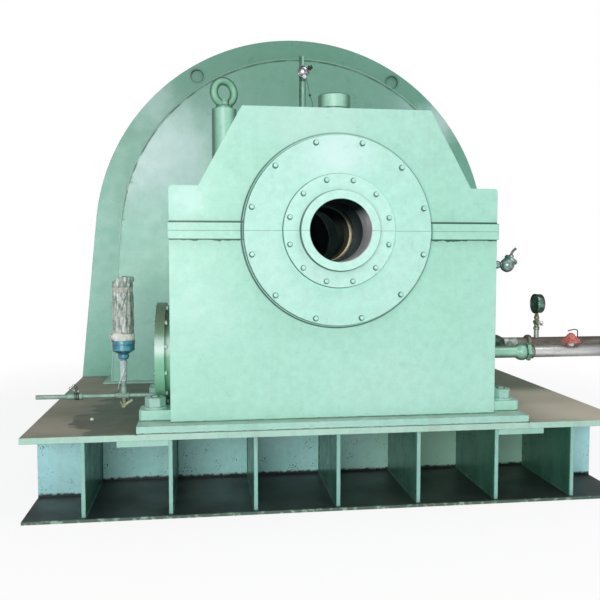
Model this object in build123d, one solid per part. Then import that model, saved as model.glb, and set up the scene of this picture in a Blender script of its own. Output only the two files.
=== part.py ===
from build123d import *
from math import acos, atan2, cos, hypot, sin
import os

# A horizontal hydroelectric generator on its welded base, with no shaft in its bearings yet.
# The origin is the centre of the base's underside. +X is to the right of someone who faces the
# front bearing, +Y runs along the shaft line to the back, and +Z is up. Lengths are millimetres.
# A name that ends in _back is a distance behind the front edge of the base's top plate, one that
# ends in _rise is a height above the top of that plate, and one that ends in _out is a distance
# outwards from the pedestal's side. The back half mirrors the front.

# Clearances
seat_gap = 0.2
seal_gap = 1.0
hinge_gap = 0.05
parting_gap = 0.5
lever_gap = 1.0

# Narrow flats round small moulded and punched forms
flat_count = 24

# Base
base_length = 3860
base_height = 352
top_plate_thickness = 26
bottom_plate_thickness = 12
rib_count = 7
rib_thickness = 16
end_bay_width = 240
rib_back = 22
web_thickness = 16
cross_web_back = 500
end_plate_back = 300
pad_width = 207
pad_thickness = 30
pad_length = 220

# Bearing pedestal
axis_rise = 825
pedestal_width = 1400
pedestal_back = 57
pedestal_depth = 710
sole_overhang = 135
sole_length = 820
sole_thickness = 32
shoulder_rise = 1010
shoulder_width = 120
hump_slope = 180
hump_rise = 1336
shoulder_round = 14
hump_round = 8
flange_height = 34
flange_proud = 15
flange_overhang = 3
lug_length = 132
lug_width = 110
lug_thickness = 45
lug_corner = 10
lug_inset = 38

# Bearing and its covers
journal_radius = 128
chamber_radius = 250
chamber_depth = 313
shell_radius = 178
liner_thickness = 6
liner_length = 119
liner_start = 75
cover_radius = 395
cover_thickness = 25
cover_seat_lip = 9
cover_seat_proud = 10
seal_disc_radius = 235
seal_disc_thickness = 18
hub_radius = 166
hub_proud = 27
seal_sleeve_depth = 106

# Anchor bolts
anchor_out = 68
anchor_head_across = 75
anchor_head_height = 38
washer_radius = 50
washer_thickness = 9

# Cooler covers on the pedestal's sides
cooler_rise = 274
cooler_radius = 235
cooler_neck_radius = 205
left_cooler_neck = 30
right_cooler_neck = 6
cooler_lid_thickness = 42

# Fittings on top of the pedestal
breather_radius = 69
breather_height = 70
breather_chamfer = 5
breather_back = 150
boss_radius = 56
boss_inset = 237
boss_height = 52
eye_mean_radius = 52
eye_bar_radius = 17
eye_turn = 28
eye_collar_radius = 38
eye_neck_radius = 22
eye_collar_height = 24
top_sensor_x = -105
top_sensor_height = 228
top_sensor_tip_height = 304
top_stem_radius = 9
top_head_radius = 27
top_head_height = 54
top_lid_radius = 30
top_lid_thickness = 14
top_gland_radius = 9
top_gland_length = 34
top_gland_lean = 60
head_chamfer = 9

# Sensor on the pedestal's right side
side_sensor_back = 200
side_sensor_rise = 682
side_neck_radius = 15
side_nut_across = 44
side_nut_length = 18
side_head_out = 112
side_head_radius = 33
side_head_length = 50
side_lid_radius = 36
side_lid_thickness = 13
side_head_lean = 37
side_stub_radius = 7
side_stub_length = 46
side_stub_offset = 8

# Oil line on the left side
oil_back = 410
oil_rise = 84
oil_pipe_radius = 10
oil_pipe_end_out = 616
tee_out = 227
tee_radius = 17
tee_length = 47
tee_branch_length = 30
coupling_out = 445
coupling_radius = 15
coupling_length = 67
plug_radius = 6
plug_height = 13
riser_radius = 10.5
oiler_rise = 255
oiler_neck_radius = 22
oiler_neck_height = 28
oiler_base_radius = 51.5
oiler_base_height = 82
oiler_taper_height = 18
oiler_collar_radius = 50
oiler_collar_height = 35
oiler_collar_bevel = 6
bottle_radius = 44
bottle_height = 254

# Drain cock under the tee
cock_drop = 42
cock_barrel_radius = 10
cock_barrel_length = 44
cock_stem_radius = 8
cock_nozzle_radius = 6
cock_nozzle_drop = 15
cock_pin_radius = 5
cock_pin_depth = 20
drain_lever_length = 44
drain_lever_width = 10
drain_lever_thickness = 6
drain_lever_turn = 35

# Water pipes on the right side
water_pipe_radius = 28.5
water_pipe_wall = 3.5
water_pipe_end_out = 750
front_pipe_back = 345
front_pipe_rise = 262
rear_pipe_back = 490
rear_pipe_rise = 286
union_out = 231
union_length = 70
union_across = 80
union_shoulder_radius = 38
union_shoulder_length = 22
sleeve_out = 340
sleeve_radius = 44
sleeve_length = 28
cone_nut_out = 162
cone_nut_length = 81
cone_nut_wide_radius = 43
cone_nut_narrow_radius = 30
water_pipe_root = 42

# Gauge and vent cap on the water pipes
gauge_out = 399
gauge_rise = 483
gauge_radius = 50
gauge_thickness = 38
gauge_rim = 4
gauge_recess = 3
gauge_stem_radius = 7
stub_radius = 11
gauge_cock_rise = 363
gauge_cock_height = 54
gauge_cock_radius = 13
gauge_barrel_radius = 10
gauge_barrel_length = 40
gauge_lever_length = 44
gauge_lever_width = 9
gauge_lever_thickness = 5
gauge_lever_turn = 145
vent_out = 507
vent_nipple_radius = 15
vent_nipple_height = 12
vent_skirt_radius = 46
vent_skirt_height = 12
vent_crown_radius = 11
vent_height = 48

# Stator frame and end shields
frame_wall_back = 1460
frame_radius = 1200
frame_wall_thickness = 25
frame_skin_thickness = 14
frame_skin_inset = 24
frame_ring_width = 240
frame_foot_spread = 90
frame_sill = 60
lifting_socket_radius = 36
lifting_socket_depth = 17
lifting_socket_inset = 60
lifting_socket_turn = 31.5
shield_back = 1250
shield_inset = 165
shield_foot_spread = 60
shield_thickness = 16
shield_rim_thickness = 14
shaft_hole_radius = 170
foot_strip_overhang = 36
foot_strip_thickness = 12
foot_strip_lead = 69

# Sizes and places worked out from the sizes above
base_width = 2 * (frame_radius + frame_foot_spread)
frame_hole_radius = frame_radius - frame_ring_width
shield_radius = frame_radius - shield_inset
shield_foot_width = 2 * (shield_radius + shield_foot_spread)
foot_strip_width = shield_foot_width + 2 * foot_strip_overhang
rib_pitch = (base_width - 2 * end_bay_width) / (rib_count - 1)
front_y = -base_length / 2
plate_z = base_height
plate_underside_z = plate_z - top_plate_thickness
axis_z = plate_z + axis_rise
sole_top_z = plate_z + sole_thickness
pedestal_y = front_y + pedestal_back
pedestal_end_y = pedestal_y + pedestal_depth
pedestal_mid_y = pedestal_y + pedestal_depth / 2
side_x = pedestal_width / 2
hump_foot_x = side_x - shoulder_width
anchor_x = side_x + anchor_out
boss_x = boss_inset - side_x
side_head_x = side_x + side_head_out
hump_z = plate_z + hump_rise
boss_top_z = hump_z + boss_height
cover_y = pedestal_y - cover_seat_proud - cover_thickness
seal_y = cover_y - seal_disc_thickness
oil_y = front_y + oil_back
oil_z = plate_z + oil_rise
tee_x = -side_x - tee_out
coupling_x = -side_x - coupling_out
oil_pipe_end_x = -side_x - oil_pipe_end_out
oiler_z = plate_z + oiler_rise
cooler_z = plate_z + cooler_rise
left_cooler_x = -side_x - left_cooler_neck - cooler_lid_thickness
right_cooler_x = side_x + right_cooler_neck + cooler_lid_thickness
cone_nut_x = side_x + cone_nut_out
water_pipe_end_x = side_x + water_pipe_end_out
union_x = side_x + union_out
sleeve_x = side_x + sleeve_out
gauge_x = side_x + gauge_out
vent_x = side_x + vent_out
front_pipe_y = front_y + front_pipe_back
front_pipe_z = plate_z + front_pipe_rise
rear_pipe_y = front_y + rear_pipe_back
rear_pipe_z = plate_z + rear_pipe_rise
frame_wall_y = front_y + frame_wall_back
shield_y = front_y + shield_back
anchor_y = pedestal_y + lug_inset + lug_width / 2


def rod_x(radius, x_start, x_end, y, z):
    """A round bar along X."""
    return Pos((x_start + x_end) / 2, y, z) * Rot(0, 90, 0) * Cylinder(radius, abs(x_end - x_start))


def rod_y(radius, y_start, y_end, x=0.0, z=axis_z):
    """A round bar along Y, on the shaft line unless another place is given."""
    return Pos(x, (y_start + y_end) / 2, z) * Rot(90, 0, 0) * Cylinder(radius, abs(y_end - y_start))


def rod_z(radius, z_start, z_end, x, y):
    """An upright round bar."""
    return Pos(x, y, (z_start + z_end) / 2) * Cylinder(radius, abs(z_end - z_start))


def stand_up(outline, y_start, depth):
    """Stand an outline of X and Z up at y_start and thicken it towards the back."""
    return extrude(Plane.XZ.offset(-y_start) * outline, amount=-depth)


def turned(*points):
    """Spin a closed outline of radius and height about the upright axis."""
    return revolve(Plane.XZ * make_face(Polyline(*points, close=True)), axis=Axis.Z)


def hexagon(across, height):
    """A six-sided nut, centred on the origin."""
    return extrude(RegularPolygon(across / 2, 6, major_radius=False), amount=height / 2, both=True)


def flatted(radius, height):
    """An upright round bar with narrow flats all round, standing on the origin."""
    return extrude(RegularPolygon(radius, flat_count, major_radius=False), amount=height)


def bevelled(radius, height, rise, inset):
    """A bar with narrow flats, its top edge bevelled by a rise and an inset."""
    form = flatted(radius, height)
    top = form.faces().sort_by(Axis.Z)[-1]
    return chamfer(top.edges(), inset, rise, reference=top)


def both_ends(front):
    """A piece of the front half and its twin at the back."""
    return Part() + [front, mirror(front, about=Plane.XZ)]


def arch(radius, foot_width, height):
    """A round-topped outline whose sides are tangent to the arc and spread to the foot."""
    foot = foot_width / 2
    turn = atan2(-height, foot) + acos(radius / hypot(foot, height))
    side = (radius * cos(turn), height + radius * sin(turn))
    top = (0, height + radius)
    outline = Polyline((-side[0], side[1]), (-foot, 0), (foot, 0), side)
    outline += ThreePointArc(side, top, (-side[0], side[1]))
    return Pos(0, plate_z) * make_face(outline)


# Base


def base_plate(thickness, low_z):
    """One of the two full-size plates of the base: the deck or the bottom plate."""
    return Pos(0, 0, low_z + thickness / 2) * Box(base_width, base_length, thickness)


def web(width, depth, x, y):
    """An upright plate between the base's two plates."""
    height = plate_underside_z - bottom_plate_thickness
    return Pos(x, y, bottom_plate_thickness + height / 2) * Box(width, depth, height)


def base_ribs():
    """The stiffeners under both ends of the deck, which make the open bays."""
    depth = cross_web_back - rib_back
    rib_y = front_y + rib_back + depth / 2
    middle = (rib_count - 1) / 2
    front = Part() + [web(rib_thickness, depth, (i - middle) * rib_pitch, rib_y) for i in range(rib_count)]
    return both_ends(front)


def base_cross_webs():
    """The plates that close the bays at the back of the ribs."""
    return both_ends(web(base_width - 2 * web_thickness, web_thickness, 0,
                         front_y + cross_web_back + web_thickness / 2))


def base_end_plates():
    """The short plates that close the base's corners, outside the outermost ribs."""
    inner = (rib_count - 1) / 2 * rib_pitch + rib_thickness / 2
    width = base_width / 2 - inner
    plate_y = front_y + end_plate_back + web_thickness / 2
    front = Part() + [web(width, web_thickness, side * (inner + width / 2), plate_y) for side in (-1, 1)]
    return both_ends(front)


def base_side_webs():
    """The long plates down both sides of the base."""
    length = base_length - 2 * (end_plate_back + web_thickness)
    offset = base_width / 2 - web_thickness / 2
    return Part() + [web(web_thickness, length, side * offset, 0) for side in (-1, 1)]


def base_pads():
    """Thickening plates under the deck, where the front anchor bolts come through."""
    inner = 2 * rib_pitch + rib_thickness / 2
    pad_y = front_y + rib_back + pad_length / 2
    pad_z = plate_underside_z - pad_thickness / 2
    front = Part() + [
        Pos(side * (inner + pad_width / 2), pad_y, pad_z) * Box(pad_width, pad_length, pad_thickness)
        for side in (-1, 1)
    ]
    return both_ends(front)


# Anchor bolts


def anchor_places():
    """The four bolt centres of the front pedestal."""
    rows = (anchor_y, 2 * pedestal_mid_y - anchor_y)
    return [(side * anchor_x, y) for side in (-1, 1) for y in rows]


def anchor_bolts():
    """Foundation bolts, a hexagon head on a washer on each foot."""
    seat_z = sole_top_z + lug_thickness
    head_z = seat_z + washer_thickness + anchor_head_height / 2
    bolts = []
    for x, y in anchor_places():
        washer = Pos(x, y, seat_z) * flatted(washer_radius, washer_thickness)
        bolts.append(washer + Pos(x, y, head_z) * hexagon(anchor_head_across, anchor_head_height))
    return both_ends(Part() + bolts)


# Bearing pedestal


def sole_plates():
    """The machined plates that the pedestals stand on."""
    plate = Pos(0, front_y + sole_length / 2, plate_z + sole_thickness / 2) * Box(
        pedestal_width + 2 * sole_overhang, sole_length, sole_thickness)
    return both_ends(plate)


def pedestal_outline():
    """The pedestal seen from the front: a box with shoulders and a sloping hump."""
    shoulder_z = plate_z + shoulder_rise
    right = [
        (side_x, sole_top_z),
        (side_x, shoulder_z),
        (hump_foot_x, shoulder_z),
        (hump_foot_x - hump_slope, hump_z),
    ]
    left = [(-x, z) for x, z in reversed(right)]
    face = make_face(Polyline(*right, *left, close=True))
    shoulders = [v for v in face.vertices() if abs(v.Y - shoulder_z) < 1 and abs(v.X) > side_x - 1]
    face = fillet(shoulders, shoulder_round)
    crown = [v for v in face.vertices() if abs(v.Y - hump_z) < 1]
    return fillet(crown, hump_round)


def pedestal_bore():
    """The stepped hole through the pedestal: oil chamber first, then the bearing's seat."""
    chamber = rod_y(chamber_radius, cover_y, pedestal_y + chamber_depth)
    return chamber + bearing_seat()


def bearing_seat():
    """The plain hole through the pedestal that the bearing's shell sits in."""
    return rod_y(shell_radius, cover_y, pedestal_end_y + flange_proud)


def foot_lugs():
    """The four feet that the anchor bolts hold down."""
    reach = lug_length / 2 + shoulder_round
    lug = Box(2 * reach, lug_width, lug_thickness)
    lug = chamfer(lug.edges().filter_by(Axis.Z), lug_corner)
    lug_z = sole_top_z + lug_thickness / 2
    rows = (anchor_y, 2 * pedestal_mid_y - anchor_y)
    centre_x = side_x + lug_length - reach
    return Part() + [Pos(side * centre_x, y, lug_z) * lug for side in (-1, 1) for y in rows]


def pedestal_housing(bore):
    """A whole pedestal, in the front one's place, before it is cut at the shaft line."""
    body = stand_up(pedestal_outline(), pedestal_y, pedestal_depth)
    flange = Pos(0, pedestal_mid_y, axis_z) * Box(
        pedestal_width + 2 * flange_overhang, pedestal_depth + 2 * flange_proud, 2 * flange_height)
    flange -= rod_y(cover_radius + cover_seat_lip, pedestal_y - flange_proud, pedestal_y)
    seat = rod_y(cover_radius + cover_seat_lip, pedestal_y - cover_seat_proud, pedestal_y)
    return body + flange + seat + foot_lugs() - bore


def halves(piece):
    """Cut a piece at the shaft line: its lower half, then its upper half."""
    level = Plane.XY.offset(axis_z)
    return split(piece, bisect_by=level, keep=Keep.BOTTOM), split(piece, bisect_by=level, keep=Keep.TOP)


def parting(radius, y_start, y_end):
    """The thin slit that a split ring shows at the shaft line."""
    return Pos(0, (y_start + y_end) / 2, axis_z) * Box(3 * radius, abs(y_end - y_start) + 2, parting_gap)


def round_covers():
    """The large covers in two halves, bolted to the pedestals' outer faces."""
    cover = rod_y(cover_radius, cover_y, cover_y + cover_thickness)
    cover -= rod_y(hub_radius + seal_gap, cover_y, cover_y + cover_thickness)
    return both_ends(cover - parting(cover_radius, cover_y, cover_y + cover_thickness))


def shaft_seals():
    """The seals in two halves: a disc, a raised hub and a sleeve that reaches inside."""
    inner = journal_radius + seal_gap
    disc_top = seal_disc_thickness
    outline = [
        (inner, -seal_sleeve_depth - cover_thickness),
        (hub_radius, -seal_sleeve_depth - cover_thickness),
        (hub_radius, 0),
        (seal_disc_radius, 0),
        (seal_disc_radius, disc_top),
        (hub_radius, disc_top),
        (hub_radius, disc_top + hub_proud),
        (inner, disc_top + hub_proud),
    ]
    seal = Pos(0, cover_y, axis_z) * Rot(90, 0, 0) * turned(*outline)
    slit = parting(seal_disc_radius, seal_y - hub_proud, cover_y + cover_thickness + seal_sleeve_depth)
    return both_ends(seal - slit)


def bearing_shells():
    """The steel sleeves that hold the bearing metal, flush with the pedestals' inner faces."""
    start = pedestal_y + chamber_depth
    shell = rod_y(shell_radius - seat_gap, start, pedestal_end_y + flange_proud)
    return both_ends(shell - rod_y(journal_radius + liner_thickness, start, pedestal_end_y + flange_proud))


def bearing_liners():
    """The bands of bearing metal that the shaft runs in."""
    start = pedestal_y + chamber_depth + liner_start
    liner = rod_y(journal_radius + liner_thickness - seat_gap, start, start + liner_length)
    return both_ends(liner - rod_y(journal_radius, start, start + liner_length))


def cooler_covers():
    """The round oil cooler lids: on a neck at the front pedestal, plain at the back one."""
    lids = []
    for side, end_x in ((-1, left_cooler_x), (1, right_cooler_x)):
        neck_x = end_x - side * cooler_lid_thickness
        neck = rod_x(cooler_neck_radius, side * side_x, neck_x, pedestal_mid_y, cooler_z)
        lids.append(neck + rod_x(cooler_radius, neck_x, end_x, pedestal_mid_y, cooler_z))
        lids.append(rod_x(cooler_radius, side * side_x, end_x, -pedestal_mid_y, cooler_z))
    return Part() + lids


# Fittings on top of the pedestal


def top_fittings(housing):
    """The breather caps on both humps, and the lifting eye on its round post."""
    cap = Pos(0, 0, breather_height / 2) * Cylinder(breather_radius, breather_height)
    cap = chamfer(cap.edges().filter_by(GeomType.CIRCLE).sort_by(Axis.Z)[-1], breather_chamfer)
    post = rod_z(boss_radius, plate_z + shoulder_rise, boss_top_z, boss_x, pedestal_mid_y) - housing
    return Part() + [both_ends(Pos(0, front_y + breather_back, hump_z) * cap), post, eyebolt()]


def eyebolt():
    """The lifting eye on the post: an eight-sided bar bent to a ring, on a stepped collar."""
    ring_z = eye_collar_height + eye_mean_radius
    bar = RegularPolygon(eye_bar_radius, 8, major_radius=False)
    ring = revolve(Plane.XZ * Pos(eye_mean_radius, 0) * bar, axis=Axis.Z)
    ring = Pos(0, 0, ring_z) * Rot(90, 0, 0) * ring
    flange = Pos(0, 0, eye_collar_height / 4) * Cylinder(eye_collar_radius, eye_collar_height / 2)
    neck_height = eye_collar_height + eye_bar_radius
    neck = Pos(0, 0, neck_height / 2) * Cylinder(eye_neck_radius, neck_height)
    hole = Pos(0, 0, ring_z) * Rot(90, 0, 0) * Cylinder(eye_mean_radius - eye_bar_radius, 4 * eye_bar_radius)
    eye = ring + (flange + neck - hole)
    return Pos(boss_x, pedestal_mid_y, boss_top_z) * Rot(0, 0, eye_turn) * eye


def top_sensor():
    """The thermometer on the front hump, with a lid and a cable gland, its stem running up through."""
    head_z = hump_z + top_sensor_height
    stem = rod_z(top_stem_radius, hump_z, hump_z + top_sensor_tip_height, 0, 0)
    head = Cylinder(top_head_radius, top_head_height)
    head = Pos(0, 0, head_z) * chamfer(head.edges().filter_by(GeomType.CIRCLE), head_chamfer)
    lid = Rot(0, 0, eye_turn) * rod_y(top_lid_radius, -top_head_radius - top_lid_thickness / 2, 0, 0, head_z)
    gland = Pos(0, 0, head_z) * Rot(0, top_gland_lean, 0) * rod_z(
        top_gland_radius, 0, top_head_radius + top_gland_length, 0, 0)
    return Pos(top_sensor_x, pedestal_mid_y, 0) * (stem + head + lid + gland)


def side_sensor():
    """The thermometer head on the pedestal's right side, leaning up with its conduit stub."""
    neck = rod_x(side_neck_radius, side_x, side_head_x, 0, 0)
    nut = Pos(side_x + side_nut_length / 2, 0, 0) * Rot(0, 90, 0) * hexagon(side_nut_across, side_nut_length)
    lid_low = side_head_length / 2
    head = Cylinder(side_head_radius, side_head_length)
    head = chamfer(head.edges().filter_by(GeomType.CIRCLE).sort_by(Axis.Z)[0], 2 * head_chamfer)
    head += rod_z(side_lid_radius, lid_low, lid_low + side_lid_thickness, 0, 0)
    stub_low = lid_low + side_lid_thickness
    head += rod_z(side_stub_radius, stub_low, stub_low + side_stub_length, -side_stub_offset, 0)
    head = Pos(side_head_x, 0, 0) * Rot(0, side_head_lean, 0) * head
    place = Pos(0, front_y + side_sensor_back, plate_z + side_sensor_rise)
    return place * (neck + nut + head)


# Oil line on the left side


def oil_line():
    """The thin pipe from the cooler lid to its open end, with its tee, coupling, plug and riser."""
    pipe = rod_x(oil_pipe_radius, left_cooler_x, oil_pipe_end_x, oil_y, oil_z)
    coupling = rod_x(coupling_radius, coupling_x - coupling_length / 2, coupling_x + coupling_length / 2,
                     oil_y, oil_z)
    plug = rod_z(plug_radius, oil_z, oil_z + coupling_radius + plug_height, coupling_x, oil_y)
    return pipe + oil_tee() + coupling + plug + rod_z(riser_radius, oil_z, oiler_z, tee_x, oil_y)


def oil_tee():
    """The tee in the oil line."""
    run = rod_x(tee_radius, tee_x - tee_length / 2, tee_x + tee_length / 2, oil_y, oil_z)
    return run + rod_z(tee_radius, oil_z, oil_z + tee_branch_length, tee_x, oil_y)


def oiler_base():
    """The funnel-shaped foot of the oiler."""
    cup = bevelled(oiler_base_radius, oiler_base_height - oiler_neck_height, oiler_taper_height,
                   oiler_base_radius - oiler_neck_radius)
    cup = Pos(0, 0, oiler_base_height) * Rot(180, 0, 0) * cup
    return Pos(tee_x, oil_y, oiler_z) * (cup + flatted(oiler_neck_radius, oiler_neck_height))


def oiler_collar():
    """The soft ring round the neck of the oiler's bottle."""
    place = Pos(tee_x, oil_y, oiler_z + oiler_base_height)
    return place * bevelled(oiler_collar_radius, oiler_collar_height, oiler_collar_bevel, oiler_collar_bevel)


def oiler_bottle():
    """The oiler's bottle."""
    low_z = oiler_z + oiler_base_height + oiler_collar_height
    return rod_z(bottle_radius, low_z, low_z + bottle_height, tee_x, oil_y)


def drain_cock():
    """The small cock under the tee: stem, cross barrel and outlet."""
    barrel_z = oil_z - cock_drop
    barrel = rod_y(cock_barrel_radius, oil_y - cock_barrel_length / 2, oil_y + cock_barrel_length / 2,
                   tee_x, barrel_z)
    stem = rod_z(cock_stem_radius, barrel_z, oil_z - tee_radius / 2, tee_x, oil_y)
    nozzle = rod_z(cock_nozzle_radius, barrel_z - cock_nozzle_drop, barrel_z, tee_x, oil_y)
    return barrel + (stem - oil_tee()) + nozzle - cock_bore(cock_barrel_length, tee_x, oil_y, barrel_z)


def cock_bore(barrel_length, x, y, z):
    """The blind hole in the front of a cock's barrel that its key turns in."""
    mouth = y - barrel_length / 2
    return rod_y(cock_pin_radius + hinge_gap, mouth, mouth + cock_pin_depth, x, z)


def drain_lever():
    """The drain cock's handle: a key in the barrel and a flat lever in front of it."""
    mouth = oil_y - cock_barrel_length / 2
    return lever(mouth, tee_x, oil_z - cock_drop, drain_lever_thickness, drain_lever_width,
                 drain_lever_length, drain_lever_turn, 0)


def lever(mouth_y, x, z, thickness, width, length, turn, tail):
    """A flat bar in front of a barrel, turned about its own key."""
    face_y = mouth_y - lever_gap - thickness
    centre = (length - tail) / 2
    outline = Rectangle(length + tail + width, width)
    outline = chamfer(outline.vertices(), width / 3)
    bar = Pos(x, z) * Rot(0, 0, turn) * Pos(centre, 0) * outline
    key = rod_y(cock_pin_radius, face_y, mouth_y + cock_pin_depth - lever_gap, x, z)
    return stand_up(bar, face_y, thickness) + key


# Water pipes on the right side


def water_pipe(y, z, fittings):
    """A cooling water pipe from the cooler lid to its open end, with its fittings on it."""
    pipe = rod_x(water_pipe_radius, right_cooler_x, water_pipe_end_x, y, z) + fittings
    bore = water_pipe_radius - water_pipe_wall
    return pipe - rod_x(bore, right_cooler_x + water_pipe_root, water_pipe_end_x, y, z)


def union():
    """The hexagon union in the front pipe, between its two round shoulders."""
    nut = Pos(union_x + union_length / 2, front_pipe_y, front_pipe_z) * Rot(0, 90, 0) * hexagon(
        union_across, union_length)
    return nut + rod_x(union_shoulder_radius, union_x - union_shoulder_length,
                       union_x + union_length + union_shoulder_length, front_pipe_y, front_pipe_z)


def vent_nipple():
    """The short nipple on the front pipe that the vent cap stands on."""
    pipe_top_z = front_pipe_z + water_pipe_radius
    return rod_z(vent_nipple_radius, front_pipe_z, pipe_top_z + vent_nipple_height, vent_x, front_pipe_y)


def cone_nut_and_sleeve():
    """The tapered nut of the rear pipe, and the sleeve further out."""
    nut = turned(
        (0, 0),
        (cone_nut_wide_radius, 0),
        (cone_nut_narrow_radius, cone_nut_length),
        (0, cone_nut_length),
    )
    nut = Pos(cone_nut_x, rear_pipe_y, rear_pipe_z) * Rot(0, 90, 0) * nut
    return nut + rod_x(sleeve_radius, sleeve_x, sleeve_x + sleeve_length, rear_pipe_y, rear_pipe_z)


def gauge_cock():
    """The stub, body and cross barrel that carry the gauge."""
    low_z = rear_pipe_z
    cock_z = plate_z + gauge_cock_rise
    stub = rod_z(stub_radius, low_z, cock_z, gauge_x, rear_pipe_y)
    stub -= rod_x(water_pipe_radius, gauge_x - union_length, gauge_x + union_length, rear_pipe_y, rear_pipe_z)
    body = rod_z(gauge_cock_radius, cock_z, cock_z + gauge_cock_height, gauge_x, rear_pipe_y)
    barrel_z = cock_z + gauge_cock_height / 2
    half = gauge_barrel_length / 2
    barrel = rod_y(gauge_barrel_radius, rear_pipe_y - half, rear_pipe_y + half, gauge_x, barrel_z)
    return stub + body + barrel - cock_bore(gauge_barrel_length, gauge_x, rear_pipe_y, barrel_z)


def gauge_lever():
    """The gauge cock's short handle."""
    mouth = rear_pipe_y - gauge_barrel_length / 2
    barrel_z = plate_z + gauge_cock_rise + gauge_cock_height / 2
    return lever(mouth, gauge_x, barrel_z, gauge_lever_thickness, gauge_lever_width,
                 gauge_lever_length / 2, gauge_lever_turn, gauge_lever_length / 2)


def pressure_gauge():
    """The round gauge, which faces the machine, with its stem down to the cock."""
    glass = gauge_radius - gauge_rim
    case = turned(
        (0, 0),
        (gauge_radius, 0),
        (gauge_radius, gauge_thickness),
        (glass, gauge_thickness),
        (glass, gauge_thickness - gauge_recess),
        (0, gauge_thickness - gauge_recess),
    )
    centre_z = plate_z + gauge_rise
    case = Pos(gauge_x + gauge_thickness / 2, rear_pipe_y, centre_z) * Rot(0, -90, 0) * case
    stem_z = plate_z + gauge_cock_rise + gauge_cock_height
    return case + rod_z(gauge_stem_radius, stem_z, centre_z - glass, gauge_x, rear_pipe_y)


def vent_cap():
    """The red cap on the front pipe's nipple: a low cone with a straight skirt."""
    cap = bevelled(vent_skirt_radius, vent_height, vent_height - vent_skirt_height,
                   vent_skirt_radius - vent_crown_radius)
    return Pos(vent_x, front_pipe_y, front_pipe_z + water_pipe_radius + vent_nipple_height) * cap


# Stator frame


def frame_outline(inset):
    """The frame's arch, drawn in from its edge by inset and open to the deck."""
    return arch(frame_radius - inset, base_width - 2 * inset, axis_rise)


def frame_walls():
    """The two end plates of the stator frame, with their sockets for lifting pins."""
    opening = arch(frame_hole_radius, 2 * frame_hole_radius, axis_rise)
    opening &= Pos(0, plate_z + frame_sill + 2 * frame_radius) * Rectangle(4 * frame_radius, 4 * frame_radius)
    outline = frame_outline(0) - opening
    wall = stand_up(outline, frame_wall_y, frame_wall_thickness)
    for side in (-1, 1):
        place = Pos(0, 0, axis_z) * Rot(0, side * lifting_socket_turn, 0)
        socket = rod_y(lifting_socket_radius, frame_wall_y, frame_wall_y + lifting_socket_depth, 0,
                       frame_radius - lifting_socket_inset)
        wall -= place * socket
    return wall, mirror(wall, about=Plane.XZ)


def frame_skin():
    """The rolled plate round the stator, between the end plates."""
    band = frame_outline(frame_skin_inset) - frame_outline(frame_skin_inset + frame_skin_thickness)
    start = frame_wall_y + frame_wall_thickness
    return stand_up(band, start, -2 * start)


def end_shield():
    """The tray-shaped cover over the stator's end, with the shaft hole."""
    strip = Pos(0, plate_z + foot_strip_thickness / 2) * Rectangle(foot_strip_width, foot_strip_thickness)
    outer = arch(shield_radius, shield_foot_width, axis_rise) - strip
    depth = frame_wall_y - shield_y
    inner_radius = shield_radius - shield_rim_thickness
    inner = arch(inner_radius, shield_foot_width - 2 * shield_rim_thickness, axis_rise)
    sill = Pos(0, plate_z) * Rectangle(foot_strip_width, 2 * (foot_strip_thickness + shield_rim_thickness))
    shield = stand_up(outer, shield_y, depth)
    shield -= stand_up(inner - sill, shield_y + shield_thickness, depth)
    return shield - rod_y(shaft_hole_radius, shield_y, shield_y + shield_thickness)


def foot_strips():
    """The flat strips on the deck that the end shields stand on."""
    start = shield_y - foot_strip_lead
    length = frame_wall_y - start
    strip = Pos(0, start + length / 2, plate_z + foot_strip_thickness / 2) * Box(
        foot_strip_width, length, foot_strip_thickness)
    return both_ends(strip)


def generator():
    """Every piece of the generator by its name."""
    front_housing = pedestal_housing(pedestal_bore())
    front_lower, front_cap = halves(front_housing)
    rear_lower, rear_cap = halves(mirror(pedestal_housing(bearing_seat()), about=Plane.XZ))
    front_wall, rear_wall = frame_walls()
    shield = end_shield()
    return {
        "base_top_plate": base_plate(top_plate_thickness, plate_underside_z),
        "base_bottom_plate": base_plate(bottom_plate_thickness, 0),
        "base_ribs": base_ribs(),
        "base_cross_webs": base_cross_webs(),
        "base_side_webs": base_side_webs(),
        "base_end_plates": base_end_plates(),
        "base_pads": base_pads(),
        "sole_plates": sole_plates(),
        "anchor_bolts": anchor_bolts(),
        "front_pedestal_lower": front_lower,
        "front_pedestal_cap": front_cap,
        "rear_pedestal_lower": rear_lower,
        "rear_pedestal_cap": rear_cap,
        "round_covers": round_covers(),
        "shaft_seals": shaft_seals(),
        "bearing_shells": bearing_shells(),
        "bearing_liners": bearing_liners(),
        "cooler_covers": cooler_covers(),
        "top_fittings": top_fittings(front_housing),
        "instruments": Part() + [top_sensor(), side_sensor(), pressure_gauge()],
        "oil_line": oil_line(),
        "oiler_base": oiler_base(),
        "oiler_collar": oiler_collar(),
        "oiler_bottle": oiler_bottle(),
        "cock_bodies": Part() + [drain_cock(), gauge_cock()],
        "drain_lever": drain_lever(),
        "gauge_lever": gauge_lever(),
        "water_pipe_front": water_pipe(front_pipe_y, front_pipe_z, union() + vent_nipple()),
        "water_pipe_rear": water_pipe(rear_pipe_y, rear_pipe_z, cone_nut_and_sleeve()),
        "vent_cap": vent_cap(),
        "frame_skin": frame_skin(),
        "frame_front_wall": front_wall,
        "frame_rear_wall": rear_wall,
        "front_end_shield": shield,
        "rear_end_shield": mirror(shield, about=Plane.XZ),
        "foot_strips": foot_strips(),
    }


os.makedirs("parts", exist_ok=True)
for name, piece in generator().items():
    export_step(piece, f"parts/{name}.step")
    print(name, len(piece.solids()), "solids", round(sum(s.volume for s in piece.solids()) / 1000), "cm3")
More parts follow.
